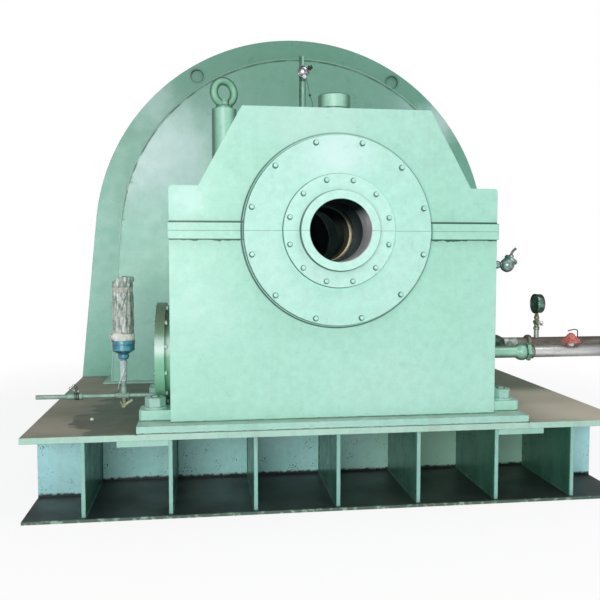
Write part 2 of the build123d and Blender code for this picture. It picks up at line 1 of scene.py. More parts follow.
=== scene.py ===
# %% [markdown]
# # A water turbine generator on its welded base
# The machine stands in a workshop with no shaft in its bearings yet. Its big forms come from a
# CAD model that is loaded as a fixed frame. This notebook gives them paint, wear and dust, and
# adds what CAD leaves out: bolt rings, weld beads, wires, a film bag and the small fittings.
# Everything is in metres, with the origin under the middle of the base, +Y along the shaft line
# to the back and +Z up.

# %% Load the machine's frame
from math import acos, atan2, cos, degrees, hypot, pi, radians, sin, tau

import bmesh
import bpy
from mathutils import Matrix, Vector, noise


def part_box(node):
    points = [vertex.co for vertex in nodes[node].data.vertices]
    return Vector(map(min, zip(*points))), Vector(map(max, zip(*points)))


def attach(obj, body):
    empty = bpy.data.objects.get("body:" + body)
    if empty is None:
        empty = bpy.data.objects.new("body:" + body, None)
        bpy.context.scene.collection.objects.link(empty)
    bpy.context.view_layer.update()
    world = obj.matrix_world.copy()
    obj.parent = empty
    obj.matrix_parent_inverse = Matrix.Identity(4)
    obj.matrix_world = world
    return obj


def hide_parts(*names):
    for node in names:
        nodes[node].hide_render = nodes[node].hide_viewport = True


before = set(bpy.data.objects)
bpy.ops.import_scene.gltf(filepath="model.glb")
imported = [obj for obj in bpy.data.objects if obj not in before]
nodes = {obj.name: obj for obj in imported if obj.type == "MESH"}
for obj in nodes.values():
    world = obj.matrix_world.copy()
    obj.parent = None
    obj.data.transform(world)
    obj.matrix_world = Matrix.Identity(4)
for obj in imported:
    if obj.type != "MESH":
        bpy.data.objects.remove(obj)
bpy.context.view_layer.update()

# %% [markdown]
# ## Sizes read from the frame
# A fitting has to sit on the plate that carries it. Reading the corners of the CAD nodes gives
# those places without copying numbers, so a changed plate would carry its fittings along.

# %% Measure the plates that carry the fittings
deck_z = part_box("base_top_plate")[1].z
deck_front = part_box("base_top_plate")[0].y
cap_low, cap_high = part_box("front_pedestal_cap")
axis_z = cap_low.z
hump_z = cap_high.z
cover_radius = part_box("round_covers")[1].x
cover_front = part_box("round_covers")[0].y
hub_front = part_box("shaft_seals")[0].y
flange_proud = 0.015
side_x = cap_high.x - 0.003
pedestal_front = cap_low.y + flange_proud
pedestal_mid = (cap_low.y + cap_high.y) / 2
lid_low, lid_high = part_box("cooler_covers")
lid_faces = {"left": -lid_low.x, "right": lid_high.x}
cooler_z = (lid_low.z + lid_high.z) / 2
shield_low, shield_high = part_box("front_end_shield")
ends = (("front", 1), ("rear", -1))
gauge_cock_x = 1.099
print(f"shaft line {axis_z:.3f} m up, pedestal {2 * side_x:.2f} m wide,",
      f"front at {pedestal_front:.3f} m")

# %% [markdown]
# ## Camera
# The photograph was taken from the left of the shaft line, at the height of a person's chest,
# looking slightly down. A camera's matrix has its right, up and backward directions as columns,
# so building those three vectors from two angles points it without any trial and error.

# %% Place the camera
camera_place = Vector((-0.5465, -4.8224, 1.066))
camera_turn, camera_dip = radians(7.464), radians(3.409)
forward = Vector((sin(camera_turn) * cos(camera_dip), cos(camera_turn) * cos(camera_dip),
                  -sin(camera_dip)))
right = Vector((cos(camera_turn), -sin(camera_turn), 0))
camera = bpy.data.objects.new("photo_camera", bpy.data.cameras.new("photo_camera"))
bpy.context.scene.collection.objects.link(camera)
camera.data.lens = 42.62
camera.data.sensor_width = 36
camera.data.clip_end = 200
camera.matrix_world = (
    Matrix.Translation(camera_place)
    @ Matrix((right, right.cross(forward), -forward)).transposed().to_4x4()
)
bpy.context.scene.camera = camera
print(f"camera {camera_place.y:.2f} m in front, {degrees(camera_turn):.1f} degrees to the right")

# %% [markdown]
# ## Shader building blocks
# Every finish below is a small network of nodes. A level wraps one output socket, so that plain
# arithmetic between levels adds the math nodes, and short helpers add the other nodes. Colours
# are given as they look in the photograph, from 0 to 255, and turned into linear light.


# %% Helpers for nodes
def colour(red, green, blue):
    """A colour as it looks on screen, turned into the linear light that shaders use."""
    def linear(level):
        level /= 255
        return level / 12.92 if level <= 0.04045 else ((level + 0.055) / 1.055) ** 2.4
    return (linear(red), linear(green), linear(blue), 1.0)


class Level:
    """A value that changes over the surface. Its arithmetic adds the math nodes that do it."""
    def __init__(self, socket):
        self.socket = socket

    def __add__(self, other):
        return maths("ADD", self, other)

    def __sub__(self, other):
        return maths("SUBTRACT", self, other)

    def __rsub__(self, other):
        return maths("SUBTRACT", other, self)

    def __mul__(self, other):
        return maths("MULTIPLY", self, other)

    def __truediv__(self, other):
        return maths("DIVIDE", self, other)

    def __rtruediv__(self, other):
        return maths("DIVIDE", other, self)

    def __abs__(self):
        return maths("ABSOLUTE", self)

    __radd__, __rmul__ = __add__, __mul__


def raw(value):
    """The socket of a level; anything else stays as it is."""
    return value.socket if isinstance(value, Level) else value


def tree_of(*values):
    """The node tree that holds the first socket among some values."""
    sockets = [raw(value) for value in values if isinstance(raw(value), bpy.types.NodeSocket)]
    return sockets[0].id_data


def link(value, socket):
    """Lead a level into an input."""
    socket.id_data.links.new(raw(value), socket)


def add(tree, kind, inputs=None, **settings):
    """Add a node, set its own settings, then plug in or set its inputs."""
    added = tree.nodes.new(kind)
    for name, value in settings.items():
        setattr(added, name, value)
    for name, value in (inputs or {}).items():
        if isinstance(raw(value), bpy.types.NodeSocket):
            link(value, added.inputs[name])
        else:
            added.inputs[name].default_value = value
    return added


def node(tree, kind, inputs=None, output=0, **settings):
    """Add a node and take one of its outputs."""
    return Level(add(tree, kind, inputs, **settings).outputs[output])


def named(added):
    """A node's outputs by their names."""
    return {socket.name: Level(socket) for socket in added.outputs}


def maths(operation, *values):
    """One step of arithmetic."""
    return node(tree_of(*values), "ShaderNodeMath", dict(enumerate(values)), operation=operation)


def remap(value, low, high, new_low=0.0, new_high=1.0):
    """Stretch the values between low and high to a new range, with soft ends."""
    ranges = {0: value, 1: low, 2: high, 3: new_low, 4: new_high}
    return node(tree_of(value), "ShaderNodeMapRange", ranges, interpolation_type="SMOOTHSTEP")


def mixed(share, first, second):
    """The first colour where share is 0, and the second where it is 1."""
    return node(tree_of(share), "ShaderNodeMix", {0: share, 6: first, 7: second}, output=2,
                data_type="RGBA")


def cloud(place, size, detail=3.0, roughness=0.55):
    """Soft random patches, about size metres across."""
    return node(tree_of(place), "ShaderNodeTexNoise",
                {"Vector": place, "Scale": 1 / size, "Detail": detail, "Roughness": roughness})


def stretched(place, x, y, z):
    """The same place with its axes scaled, so that patches become streaks."""
    return node(tree_of(place), "ShaderNodeMapping", {"Vector": place, "Scale": (x, y, z)})


def own_place(tree):
    """The point on the piece, in metres from the machine's origin."""
    return node(tree, "ShaderNodeTexCoord", output="Object")


def parts_of(vector):
    """The x, y and z of a vector."""
    return list(named(add(tree_of(vector), "ShaderNodeSeparateXYZ", {0: vector})).values())


def diagonal(x, z):
    """How far a point is from a centre, from its steps sideways and up."""
    return maths("SQRT", x * x + z * z)


def new_group(name, inputs, outputs):
    """A shader group with named inputs and outputs."""
    group = bpy.data.node_groups.new(name, "ShaderNodeTree")
    for label, value in inputs.items():
        kind = "Float" if not isinstance(value, tuple) else "Color" if len(value) == 4 else "Vector"
        socket = group.interface.new_socket(label, in_out="INPUT", socket_type="NodeSocket" + kind)
        socket.default_value = value
    for label, kind in outputs.items():
        group.interface.new_socket(label, in_out="OUTPUT", socket_type="NodeSocket" + kind)
    return group, named(add(group, "NodeGroupInput")), add(group, "NodeGroupOutput").inputs


print("node helpers ready")

# %% [markdown]
# ## Brushed enamel
# The green is thick workshop enamel, rolled and brushed on by hand. Seen close, it is never one
# colour: broad patches are a little bluer, drips have dried in streaks, dust lies on whatever
# faces up, and the film has a faint orange-peel skin. All green pieces share this look, so it is
# one group, and each material only sets its own shades and amounts.

# %% Enamel group
enamel, given, result = new_group(
    "brushed enamel",
    {"Paint": colour(176, 228, 208), "Faded": colour(190, 230, 220), "Dust": colour(150, 144, 130),
     "Patch Size": 0.5, "Fading": 0.6, "Streaks": 0.15, "Dusting": 0.7, "Peel": 1.0},
    {"Color": "Color", "Roughness": "Float", "Height": "Float"},
)
place = own_place(enamel)
faded = remap(cloud(place, given["Patch Size"], 4.0, 0.5), 0.35, 0.68) * given["Fading"]
coat = mixed(faded, given["Paint"], given["Faded"])
streaks = cloud(stretched(place, 1, 1, 0.06), 0.05, 4.0)
streaks = remap(streaks, 0.5, 0.75) * given["Streaks"]
coat = mixed(streaks, coat, given["Dust"])
mottle = remap(cloud(place, 0.03, 5.0, 0.65), 0.25, 0.75, 0.93, 1.04)
coat = node(enamel, "ShaderNodeVectorMath", {0: coat, 3: mottle}, operation="SCALE")
facing_up = parts_of(node(enamel, "ShaderNodeNewGeometry", output="Normal"))[2]
settled = remap(facing_up, 0.45, 0.95) * remap(cloud(place, 0.09, 5.0), 0.3, 0.6, 0.45, 1.0)
settled = settled * given["Dusting"]
link(mixed(settled, coat, given["Dust"]), result["Color"])
gloss = remap(cloud(place, 0.06, 4.0), 0.3, 0.7, 0.27, 0.42)
link(settled * 0.4 + gloss, result["Roughness"])
peel = cloud(place, 0.006, 2.0) * given["Peel"]
waves = cloud(place, 0.11, 1.0) * 9.0 + peel
link(waves, result["Height"])
print("enamel:", len(enamel.nodes), "nodes")

# %% [markdown]
# ## Worn and rounded edges
# A cut plate has no knife edge: the paint rounds it off and is knocked away there first. The
# Bevel shader node looks up the surface just round the corner, so comparing its direction with
# the real one finds every edge, however the mesh is built. The same direction also makes the
# edge catch the light.

# %% Edge group
edges, given, result = new_group(
    "worn edges", {"Radius": 0.004, "Wear": 0.4, "Chip Size": 0.02},
    {"Mask": "Float", "Normal": "Vector"},
)
round_corner = node(edges, "ShaderNodeBevel", {"Radius": given["Radius"]}, samples=4)
flat_face = node(edges, "ShaderNodeNewGeometry", output="Normal")
agreement = node(edges, "ShaderNodeVectorMath", {0: round_corner, 1: flat_face},
                 operation="DOT_PRODUCT", output="Value")
bend = remap(agreement, 0.99, 0.85)
chips = remap(cloud(own_place(edges), given["Chip Size"], 4.0, 0.5), 0.48, 0.6)
wear = bend * chips * given["Wear"]
link(wear, result["Mask"])
link(round_corner, result["Normal"])
print("worn edges:", len(edges.nodes), "nodes")

# %% [markdown]
# ## Dirt lines and painted shade round joints and bolts
# Oil and dust creep into every joint, and that draws the thin dark outlines of the covers, which
# carry painted shade on their lower left. A joint is a circle or a level line, so its distance
# from the point being shaded is plain arithmetic. For a ring of bolts, the angle is wrapped round
# to the nearest bolt first, so one small network draws all twelve outlines, each shifted down and
# left as a painted shadow of its bolt head.

# %% Joint and bolt groups
ring_line, given, result = new_group(
    "ring joint", {"Centre Across": 0.0, "Centre Height": 1.0, "Radius": 0.4, "Half Width": 0.002},
    {"Mask": "Float"})
x, y, z = parts_of(own_place(ring_line))
x = abs(x) - given["Centre Across"]
z = z - given["Centre Height"]
reach = diagonal(x, z)
off = abs(reach - given["Radius"])
off = off / given["Half Width"]
link(remap(off, 1.6, 0.5), result["Mask"])

bolt_dirt_and_shadow, given, result = new_group(
    "bolt dirt and shadow",
    {"Centre Height": 1.0, "Ring Radius": 0.4, "Step": 0.5, "First": 0.0, "Bolt Radius": 0.012,
     "Spread": 0.004}, {"Mask": "Float"})
x, y, z = parts_of(own_place(bolt_dirt_and_shadow))
# shifting the ring down and left paints a shadow of each bolt head
x = x + 0.0012
z = z + 0.0016 - given["Centre Height"]
reach = diagonal(x, z)
turn = maths("ARCTAN2", z, x) - given["First"]
turn = turn / given["Step"]
turn = turn - maths("ROUND", turn)
turn = turn * given["Step"]
out = reach * maths("COSINE", turn) - given["Ring Radius"]
along = reach * maths("SINE", turn)
far = diagonal(out, along)
far = (far - given["Bolt Radius"]) / given["Spread"]
link(remap(far, 1.0, 0.0), result["Mask"])
print("joint lines and bolt dirt and shadow ready")

# %% [markdown]
# ## The green paints
# One function mixes enamel, edges and joint lines into a finished material. What differs from
# piece to piece is the shade, the dust and which dark lines it carries, so those are arguments.
# The Principled shader itself stays in the material, where its coat can be set as a plain number.


# %% Paint a green piece
def new_material(name, roughness=0.5, metallic=0.0, **fixed):
    """A material with plain numbers on its shader, ready for its patterns."""
    made = bpy.data.materials.new(name)
    made.use_nodes = True
    shader = made.node_tree.nodes["Principled BSDF"]
    shader.inputs["Roughness"].default_value = roughness
    shader.inputs["Metallic"].default_value = metallic
    for label, value in fixed.items():
        shader.inputs[label.replace("_", " ")].default_value = value
    return made, made.node_tree, shader.inputs


def use(tree, group, **levels):
    """Place a shared group in a material with its own levels."""
    inputs = {label.replace("_", " "): value for label, value in levels.items()}
    return named(add(tree, "ShaderNodeGroup", inputs, node_tree=group))


def relief(shader, height, strength, distance, **more):
    """Bumps that follow a height, on the way into a shader's normal."""
    inputs = {"Strength": strength, "Distance": distance, "Height": height, **more}
    link(node(tree_of(height), "ShaderNodeBump", inputs), shader["Normal"])


def blotches(place, size, first, second, detail=5.0, low=0.35, high=0.65):
    """Soft patches of two colours."""
    return mixed(remap(cloud(place, size, detail), low, high), colour(*first), colour(*second))


def darker_rim(tree, shade, share, rim_shade):
    """The shade with some of another where the surface turns away: painted shade at the silhouette.
    """
    turned_away = node(tree, "ShaderNodeLayerWeight", {"Blend": 0.5}, output="Facing")
    return mixed(remap(turned_away, 0.02, 0.55, 0.0, share), shade, colour(*rim_shade))


def enamelled(name, paint, faded, layers=(), edge=(118, 120, 96), wear=0.35, rim=None, **levels):
    """Green enamel with rounded edges; a layer is a function for its share and its colour."""
    made, tree, shader = new_material(name, Coat_Weight=0.25, Coat_Roughness=0.18)
    coat = use(tree, enamel, Paint=colour(*paint), Faded=colour(*faded), **levels)
    worn = use(tree, edges, Radius=0.004, Wear=wear)
    shade = coat["Color"]
    for share, tint in layers:
        shade = mixed(share(tree), shade, colour(*tint))
    # painted shade where the surface turns away from the view
    if rim:
        shade = darker_rim(tree, shade, *rim)
    shade = mixed(worn["Mask"], shade, colour(*edge))
    link(shade, shader["Base Color"])
    link(coat["Roughness"], shader["Roughness"])
    relief(shader, coat["Height"], 0.35, 0.0012, Normal=worn["Normal"])
    return made


def darkest(*masks):
    """The strongest of several marks at each point."""
    strongest = masks[0]
    for mask in masks[1:]:
        strongest = maths("MAXIMUM", strongest, mask)
    return strongest


print("paint function ready")

# %% [markdown]
# ## Bolt places
# Both round covers have twelve bolts, half a step away from the parting line, so that no bolt
# sits on it. The same numbers later place the bolt heads themselves.

# %% Bolt rings on the covers
bolt_count = 12
bolt_step = tau / bolt_count
first_bolt = bolt_step / 2
cover_bolt_ring = cover_radius - 0.020
seal_radius = 0.235
seal_front = hub_front + 0.027
seal_bolt_ring = seal_radius - 0.020
seat_ring_radius = cover_radius + 0.009
hub_radius = 0.166
bolt_radius = 0.0108
print(f"{bolt_count} bolts every {degrees(bolt_step):.0f} degrees, on rings of",
      f"{cover_bolt_ring:.3f} and {seal_bolt_ring:.3f} m")

# %% [markdown]
# ## Dark lines on the pedestal and its covers
# The pedestal carries the seam round the seat ring and the parting line at shaft height. Under
# the split flange lies a dark band, partly paint that ran down in short drips before it dried and
# partly painted shadow of the flange, which a noise along the seam turns into tongues of different
# lengths.


# %% Marks for the pedestal, covers and seals
def level_line(tree, height, half_width):
    """A thin line at one height."""
    off = abs(parts_of(own_place(tree))[2] - height)
    return remap(off, half_width * 1.6, half_width * 0.5)


def joint(tree, radius, half_width):
    """A dark joint circle round the shaft line, with painted shade making it stronger on its lower
    left.
    """
    x, y, z = parts_of(own_place(tree))
    # the lower-left weight is painted shade on the side walls seen there
    lower_left = axis_z - z - x
    line = use(tree, ring_line, Centre_Height=axis_z, Radius=radius, Half_Width=half_width)["Mask"]
    return line * remap(lower_left, -radius, radius * 0.8, 0.5, 0.95)


def from_shaft(tree):
    """How far a point is from the shaft line."""
    x, y, z = parts_of(own_place(tree))
    return diagonal(x, z - axis_z)


def bleached(across, height, reach, strength):
    """A layer for a soft pale patch, seen from the front: a painted highlight."""
    def share(tree):
        place = own_place(tree)
        flat = node(tree, "ShaderNodeVectorMath", {0: place, 1: (1, 0, 1)}, operation="MULTIPLY")
        away = node(tree, "ShaderNodeVectorMath", {0: flat, 1: (across, 0, height)},
                    operation="DISTANCE", output="Value")
        away = cloud(place, reach * 0.4) * (reach * 0.8) + away
        return remap(away, reach * 1.4, reach * 0.5) * strength
    return share


def pedestal_marks(tree):
    place = own_place(tree)
    height = parts_of(place)[2]
    seams = darkest(joint(tree, seat_ring_radius + 0.0018, 0.0034),
                    joint(tree, cover_radius + 0.0015, 0.003))
    # a dark band under the flange: drips and painted shadow of the flange
    drip_and_shadow = remap(cloud(stretched(place, 1, 1, 0.02), 0.045, 3.0), 0.4, 0.75, 0.006, 0.014)
    below = axis_z - 0.034 - height
    runs = remap(below, -0.002, 0.001) * remap(drip_and_shadow - below, 0.0, 0.004)
    above = abs(height - (axis_z + 0.0365))
    return darkest(seams, level_line(tree, axis_z, 0.001) * 0.5, runs * 0.95,
                   remap(above, 0.006, 0.0026) * 0.98)


def inside(radius):
    """A layer for whatever lies within a radius of the shaft line, such as the inside of a bore;
    with a dark colour it is painted shade.
    """
    return lambda tree: remap(from_shaft(tree), radius, radius - 0.003)


def grime_at(level):
    """A layer for the thin ragged dirt line where a piece stands on something at a level."""
    def share(tree):
        height = parts_of(own_place(tree))[2]
        ragged = cloud(own_place(tree), 0.03, 5.0, 0.7) * -0.01 + height
        line = remap(ragged, level + 0.001, level - 0.002)
        return line * remap(height, level - 0.003, level - 0.001) * 0.8
    return share


def disc_marks(bolt_ring, bolt, share, inner_radius):
    """A layer for dirt and painted shade round a disc's bolts, round what sits on it and along its
    parting.
    """
    def marks(tree):
        bolts = use(tree, bolt_dirt_and_shadow, Centre_Height=axis_z, Ring_Radius=bolt_ring, Step=bolt_step,
                    First=first_bolt, Bolt_Radius=bolt, Spread=0.0030)["Mask"]
        return darkest(bolts * share, joint(tree, inner_radius + 0.001, 0.0024),
                       level_line(tree, axis_z, 0.0009) * 0.45)
    return marks


def lower_right(tree, start, full):
    """0 at the top left of a bore and 1 low on its right, between two distances."""
    x, y, z = parts_of(own_place(tree))
    across = (axis_z - z) * 0.55 + x
    return remap(across, start, full)


def bright_in_sleeve(tree):
    """A painted highlight on the seal's sleeve, low on the right, broken by turning grooves."""
    grooves = remap(cloud(stretched(own_place(tree), 0.2, 1, 0.2), 0.014, 2.0), 0.35, 0.6, 0.7, 1.0)
    bright = lower_right(tree, 0.03, 0.1) * grooves
    return bright * inside(0.132)(tree)


def lid_glare(tree):
    """A painted glare: a pale band at the cooler lid's middle height."""
    height = parts_of(own_place(tree))[2]
    off = abs(height - (cooler_z + 0.062))
    return remap(off, 0.055, 0.018) * 0.85


def lid_grime(tree):
    """Oil and dust that lie on the upper part of the cooler lid."""
    place = own_place(tree)
    height = cloud(place, 0.05, 4.0) * 0.08 + parts_of(place)[2]
    return remap(height, cooler_z + 0.1, cooler_z + 0.2) * 0.85


cover_marks = disc_marks(cover_bolt_ring, bolt_radius, 0.95, seal_radius)
seal_marks = disc_marks(seal_bolt_ring, bolt_radius - 0.0006, 0.9, hub_radius)
seam_and_shade_teal, shade_teal = (42, 92, 80), (14, 30, 32)
highlight_mint = (222, 252, 248)
pedestal_green = enamelled(
    "pedestal enamel", (176, 232, 212), (190, 236, 222), Patch_Size=0.5, Streaks=0.05, Dusting=0.45,
    Peel=1.0,
    # the first two layers are painted highlights on the shoulder and the top
    layers=[(bleached(-0.62, 1.3, 0.09, 0.45), highlight_mint),
            (bleached(-0.1, 1.62, 0.3, 0.45), (206, 240, 230)), (pedestal_marks, seam_and_shade_teal),
            # the last layer is painted shade inside the bore
            (grime_at(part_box("sole_plates")[1].z), (60, 104, 88)), (inside(0.3), shade_teal)])
cover_green = enamelled(
    "cover enamel", (190, 242, 226), (198, 242, 230), Patch_Size=0.3, Streaks=0.03, Dusting=0.3,
    # a painted highlight on the cover's top comes first
    Peel=1.2, layers=[(bleached(0.0, 1.5, 0.2, 0.8), highlight_mint), (cover_marks, seam_and_shade_teal),
                      # painted shade inside the bore
                      (inside(0.232), shade_teal)])
seal_green = enamelled(
    "seal enamel", (202, 250, 236), (208, 250, 238), Patch_Size=0.2, Streaks=0.02, Dusting=0.3,
    # painted shade inside the sleeve
    Peel=1.2, layers=[(seal_marks, (54, 106, 92)), (inside(0.132), (12, 38, 38)),
                      # a painted highlight low on the sleeve's right
                      (bright_in_sleeve, (252, 255, 255))])
plain_green = enamelled("fitting enamel", (166, 222, 198), (184, 230, 212), Patch_Size=0.12,
                        Streaks=0.1, Dusting=0.6, rim=(0.85, (40, 96, 70)))
lid_green = enamelled("cooler lid enamel", (138, 206, 172), (158, 216, 188), Patch_Size=0.12,
                      Streaks=0.1, Dusting=0.7, rim=(0.3, (40, 96, 70)),
                      layers=[(lid_glare, (232, 252, 246)), (lid_grime, (112, 124, 98))])
dusty_green = enamelled("eye enamel", (132, 196, 164), (156, 208, 184), Patch_Size=0.05,
                        Streaks=0.2, Dusting=0.95, rim=(0.9, (28, 72, 52)))
print("pedestal, cover, seal and fitting paints made")

# %% [markdown]
# ## The stator's older paint
# The arched stator frame behind the pedestal was painted earlier. It is greyer and bluer low
# down and darker towards the top, a painted shade that deepens slowly with height, and soft
# painted highlights lie on its broad faces.


# %% Stator paint
def soot(tree):
    """Painted shade that deepens the higher the plate reaches, in uneven clouds."""
    place = own_place(tree)
    height = parts_of(place)[2]
    uneven = cloud(place, 0.35, 4.0) * 0.5 + height
    return remap(uneven, 1.35, 2.45, 0.0, 0.62)


def shield_edge(tree):
    """The dark line just inside the end shield's rim, which spreads below the shaft line."""
    x, y, z = parts_of(own_place(tree))
    drop = maths("MAXIMUM", axis_z - z, 0.0)
    rise = maths("MAXIMUM", z - axis_z, 0.0)
    reach = diagonal(x, rise)
    spread = (shield_high.x - shield_reach) / (axis_z - deck_z)
    off = drop * -spread + reach - (shield_reach - 0.009)
    broken = remap(cloud(own_place(tree), 0.06, 3.0), 0.35, 0.6, 0.35, 1.0)
    broken = broken * remap(z, axis_z - 0.05, axis_z + 0.3, 0.15, 1.0)
    return remap(abs(off), 0.0075, 0.0025) * broken


def socket_outlines(tree):
    """The shadow line round each lifting socket, and a fainter one round that."""
    turn, out = radians(31.5), 1.140
    centre = {"Centre_Across": out * sin(turn), "Centre_Height": axis_z + out * cos(turn)}
    return darkest(use(tree, ring_line, Radius=0.038, Half_Width=0.003, **centre)["Mask"] * 0.8,
                   use(tree, ring_line, Radius=0.047, Half_Width=0.0022, **centre)["Mask"] * 0.35)


top_shade_green, highlight_grey_green = (84, 132, 108), (206, 232, 230)
shield_reach = shield_high.z - axis_z
# the end shield carries painted shade that deepens towards its top
shield_green = enamelled(
    "end shield enamel", (152, 212, 192), (170, 216, 210), Patch_Size=0.8, Streaks=0.12,
    Dusting=0.8, Peel=1.4,
    # painted highlights follow the painted shade towards the top
    layers=[(soot, top_shade_green), (bleached(-0.8, 1.68, 0.42, 0.75), highlight_grey_green),
            (bleached(0.78, 1.84, 0.3, 0.75), highlight_grey_green), (shield_edge, (58, 96, 82)),
            # painted shade round the shaft hole, seen through the bore
            (lambda tree: remap(from_shaft(tree), 0.46, 0.28), shade_teal)])
# the stator frame carries painted shade that deepens towards its top
stator_green = enamelled(
    "stator enamel", (134, 200, 178), (150, 204, 192), Patch_Size=0.8, Streaks=0.12, Dusting=0.8,
    Peel=1.4,
    # painted highlights follow the painted shade towards the top
    layers=[(soot, top_shade_green), (bleached(-0.86, 2.0, 0.22, 0.4), highlight_grey_green),
            (bleached(0.88, 1.9, 0.2, 0.7), highlight_grey_green), (socket_outlines, (58, 92, 78))])
# the weld beads carry the same painted shade towards the top
bead_green = enamelled("weld enamel", (176, 222, 206), (188, 228, 216), Patch_Size=0.1, Streaks=0.1,
                       Dusting=0.6, layers=[(soot, top_shade_green)])
print("stator, end shield and weld paints made")

# %% [markdown]
# ## Base, floors and deck
# The open bays of the base catch oil, and with painted shade under the deck their floors are
# almost black; painted shade also darkens the ribs into the bays, while their front edges stay
# light but chipped. The deck is bare dusty primer with large oil stains that end in a ragged
# shore. A warped noise with a hard threshold gives that shore, and dust settles between.


# %% Base paints
def deep_in_bay(tree):
    """Painted shade, with some grime, that grows from the front edges into the bays."""
    x, y, z = parts_of(own_place(tree))
    inward = -deck_front - abs(y)
    stained = remap(cloud(stretched(own_place(tree), 1, 1, 0.4), 0.12, 5.0), 0.3, 0.65, 0.75, 0.95)
    return remap(inward, 0.0225, 0.034) * stained


def low_and_specked(tree):
    """A ragged dirty line along the floor, with chips of dark primer higher up."""
    place = own_place(tree)
    height = parts_of(place)[2]
    ragged = cloud(place, 0.02, 5.0, 0.7) * -0.036 + height
    band = remap(ragged, floor_z + 0.002, floor_z - 0.01)
    specks = node(tree, "ShaderNodeTexVoronoi", {"Vector": place, "Scale": 110.0},
                  output="Distance")
    size = remap(cloud(place, 0.07, 5.0), 0.46, 0.68, 0.0, 0.33)
    return darkest(band, remap(size - specks, -0.02, 0.06) * 0.85)


def under_deck(tree):
    """Painted shadow that darkens the plates just below the deck."""
    deck_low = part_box("base_top_plate")[0].z
    near = remap(parts_of(own_place(tree))[2], deck_low - 0.13, deck_low, 0.0, 0.96)
    return near * near


floor_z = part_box("base_bottom_plate")[1].z
rib_green = enamelled("rib enamel", (140, 196, 184), (158, 206, 194), edge=(84, 84, 70), wear=0.8,
                      Patch_Size=0.15, Streaks=0.25, Dusting=0.8,
                      layers=[(deep_in_bay, (46, 104, 82))])
web_green = enamelled("web enamel", (180, 244, 240), (190, 246, 244), Patch_Size=0.2, Streaks=0.12,
                      Dusting=0.8,
                      layers=[(lambda tree: remap(parts_of(own_place(tree))[0], -0.2, 0.55),
                               (158, 206, 184)), (under_deck, (40, 90, 84)),
                              (low_and_specked, (24, 38, 34))])
end_green = enamelled("corner plate enamel", (180, 236, 240), (192, 240, 242), Patch_Size=0.2,
                      Streaks=0.08, Dusting=0.5,
                      layers=[(under_deck, (48, 98, 94)), (low_and_specked, (28, 42, 48))])
strip_green = enamelled("sole enamel", (166, 218, 202), (180, 222, 210), Patch_Size=0.2,
                        Streaks=0.12, Dusting=0.55, edge=(112, 104, 84), wear=0.7,
                        layers=[(grime_at(deck_z), (66, 82, 70))])
print("base paints made")


# %% Bay floor and deck
def oily_floor():
    """Dirty bottom plate, black inside the bays with oil and painted shade, and green where it
    shows in front.
    """
    made, tree, shader = new_material("bay floor", Coat_Weight=0.2, Coat_Roughness=0.3)
    place = own_place(tree)
    grease_and_shade = blotches(place, 0.5, (31, 37, 37), (42, 54, 50), 3.0)
    grit = remap(cloud(place, 0.008, 5.0, 0.7), 0.58, 0.7)
    grease_and_shade = mixed(grit * 0.6, grease_and_shade, colour(92, 100, 88))
    inward = -deck_front - abs(parts_of(place)[1])
    worn = blotches(place, 0.03, (78, 100, 88), (150, 180, 160), 4.0, 0.52, 0.66)
    link(mixed(remap(inward, 0.0, 0.012), worn, grease_and_shade), shader["Base Color"])
    link(remap(cloud(place, 0.3, 4.0), 0.3, 0.7, 0.4, 0.65), shader["Roughness"])
    relief(shader, cloud(place, 0.01, 6.0), 0.3, 0.001)
    return made


def dusty_deck():
    """Bare dusty plate with oil stains round the pedestal, and green enamel on its edges."""
    made, tree, shader = new_material("deck", Coat_Weight=0.0)
    place = own_place(tree)
    x, y, z = parts_of(place)
    dust = blotches(place, 0.25, (178, 168, 156), (156, 152, 134))
    dust = mixed(cloud(stretched(place, 0.15, 1, 1), 0.03, 4.0) * 0.3, dust, colour(120, 114, 102))
    swept = remap(x, 0.8, 1.1) * remap(y, -1.1, -1.35)
    dust = mixed(swept * 0.7, dust, colour(226, 214, 196))
    damp = remap(x, 0.8, 1.1) * remap(y, -1.3, -1.05)
    dust = mixed(damp * 0.75, dust, colour(84, 96, 80))
    from_middle = abs(x + 0.05)
    warped = {"Vector": place, "Scale": 3.4, "Detail": 7.0, "Roughness": 0.6, "Distortion": 0.8}
    shore = node(tree, "ShaderNodeTexNoise", warped) * 0.6 + from_middle
    wet = remap(shore, 1.345, 1.325) * remap(x, 0.9, 0.75)
    stain = blotches(place, 0.15, (96, 94, 82), (116, 114, 98))
    top = mixed(wet, dust, stain)
    edge_green = remap(cloud(place, 0.08, 5.0) * 0.22 + y, deck_front + 0.16, deck_front + 0.08)
    top = mixed(edge_green * 0.4, top, colour(128, 150, 116))
    coat = use(tree, enamel, Paint=colour(176, 216, 200), Faded=colour(188, 224, 210), Dusting=0.0,
               Streaks=0.2, Patch_Size=0.2)
    worn = use(tree, edges, Radius=0.003, Wear=0.8, Chip_Size=0.04)
    facing = parts_of(node(tree, "ShaderNodeNewGeometry", output="True Normal"))[2]
    on_top = remap(facing, 0.6, 0.8)
    side = mixed(worn["Mask"], coat["Color"], colour(112, 100, 80))
    link(mixed(on_top, side, top), shader["Base Color"])
    matt = remap(wet, 0.0, 1.0, 0.75, 0.5)
    link(node(tree, "ShaderNodeMix", {0: on_top, 2: coat["Roughness"], 3: matt}),
         shader["Roughness"])
    relief(shader, cloud(place, 0.008, 5.0), 0.35, 0.001, Normal=worn["Normal"])
    return made


bay_floor = oily_floor()
deck = dusty_deck()
print("floor and deck made")

# %% [markdown]
# ## Metals, plastics and cloth
# The fittings are small, so their finishes are simple: a base shade, one pattern that breaks it
# up, and the right gloss. A single function covers them, with the two shades, the size of the
# pattern and the gloss range as arguments. The bearing metals are painted shade with a painted
# highlight low on the right of the bore, broken by turning marks round the axis.


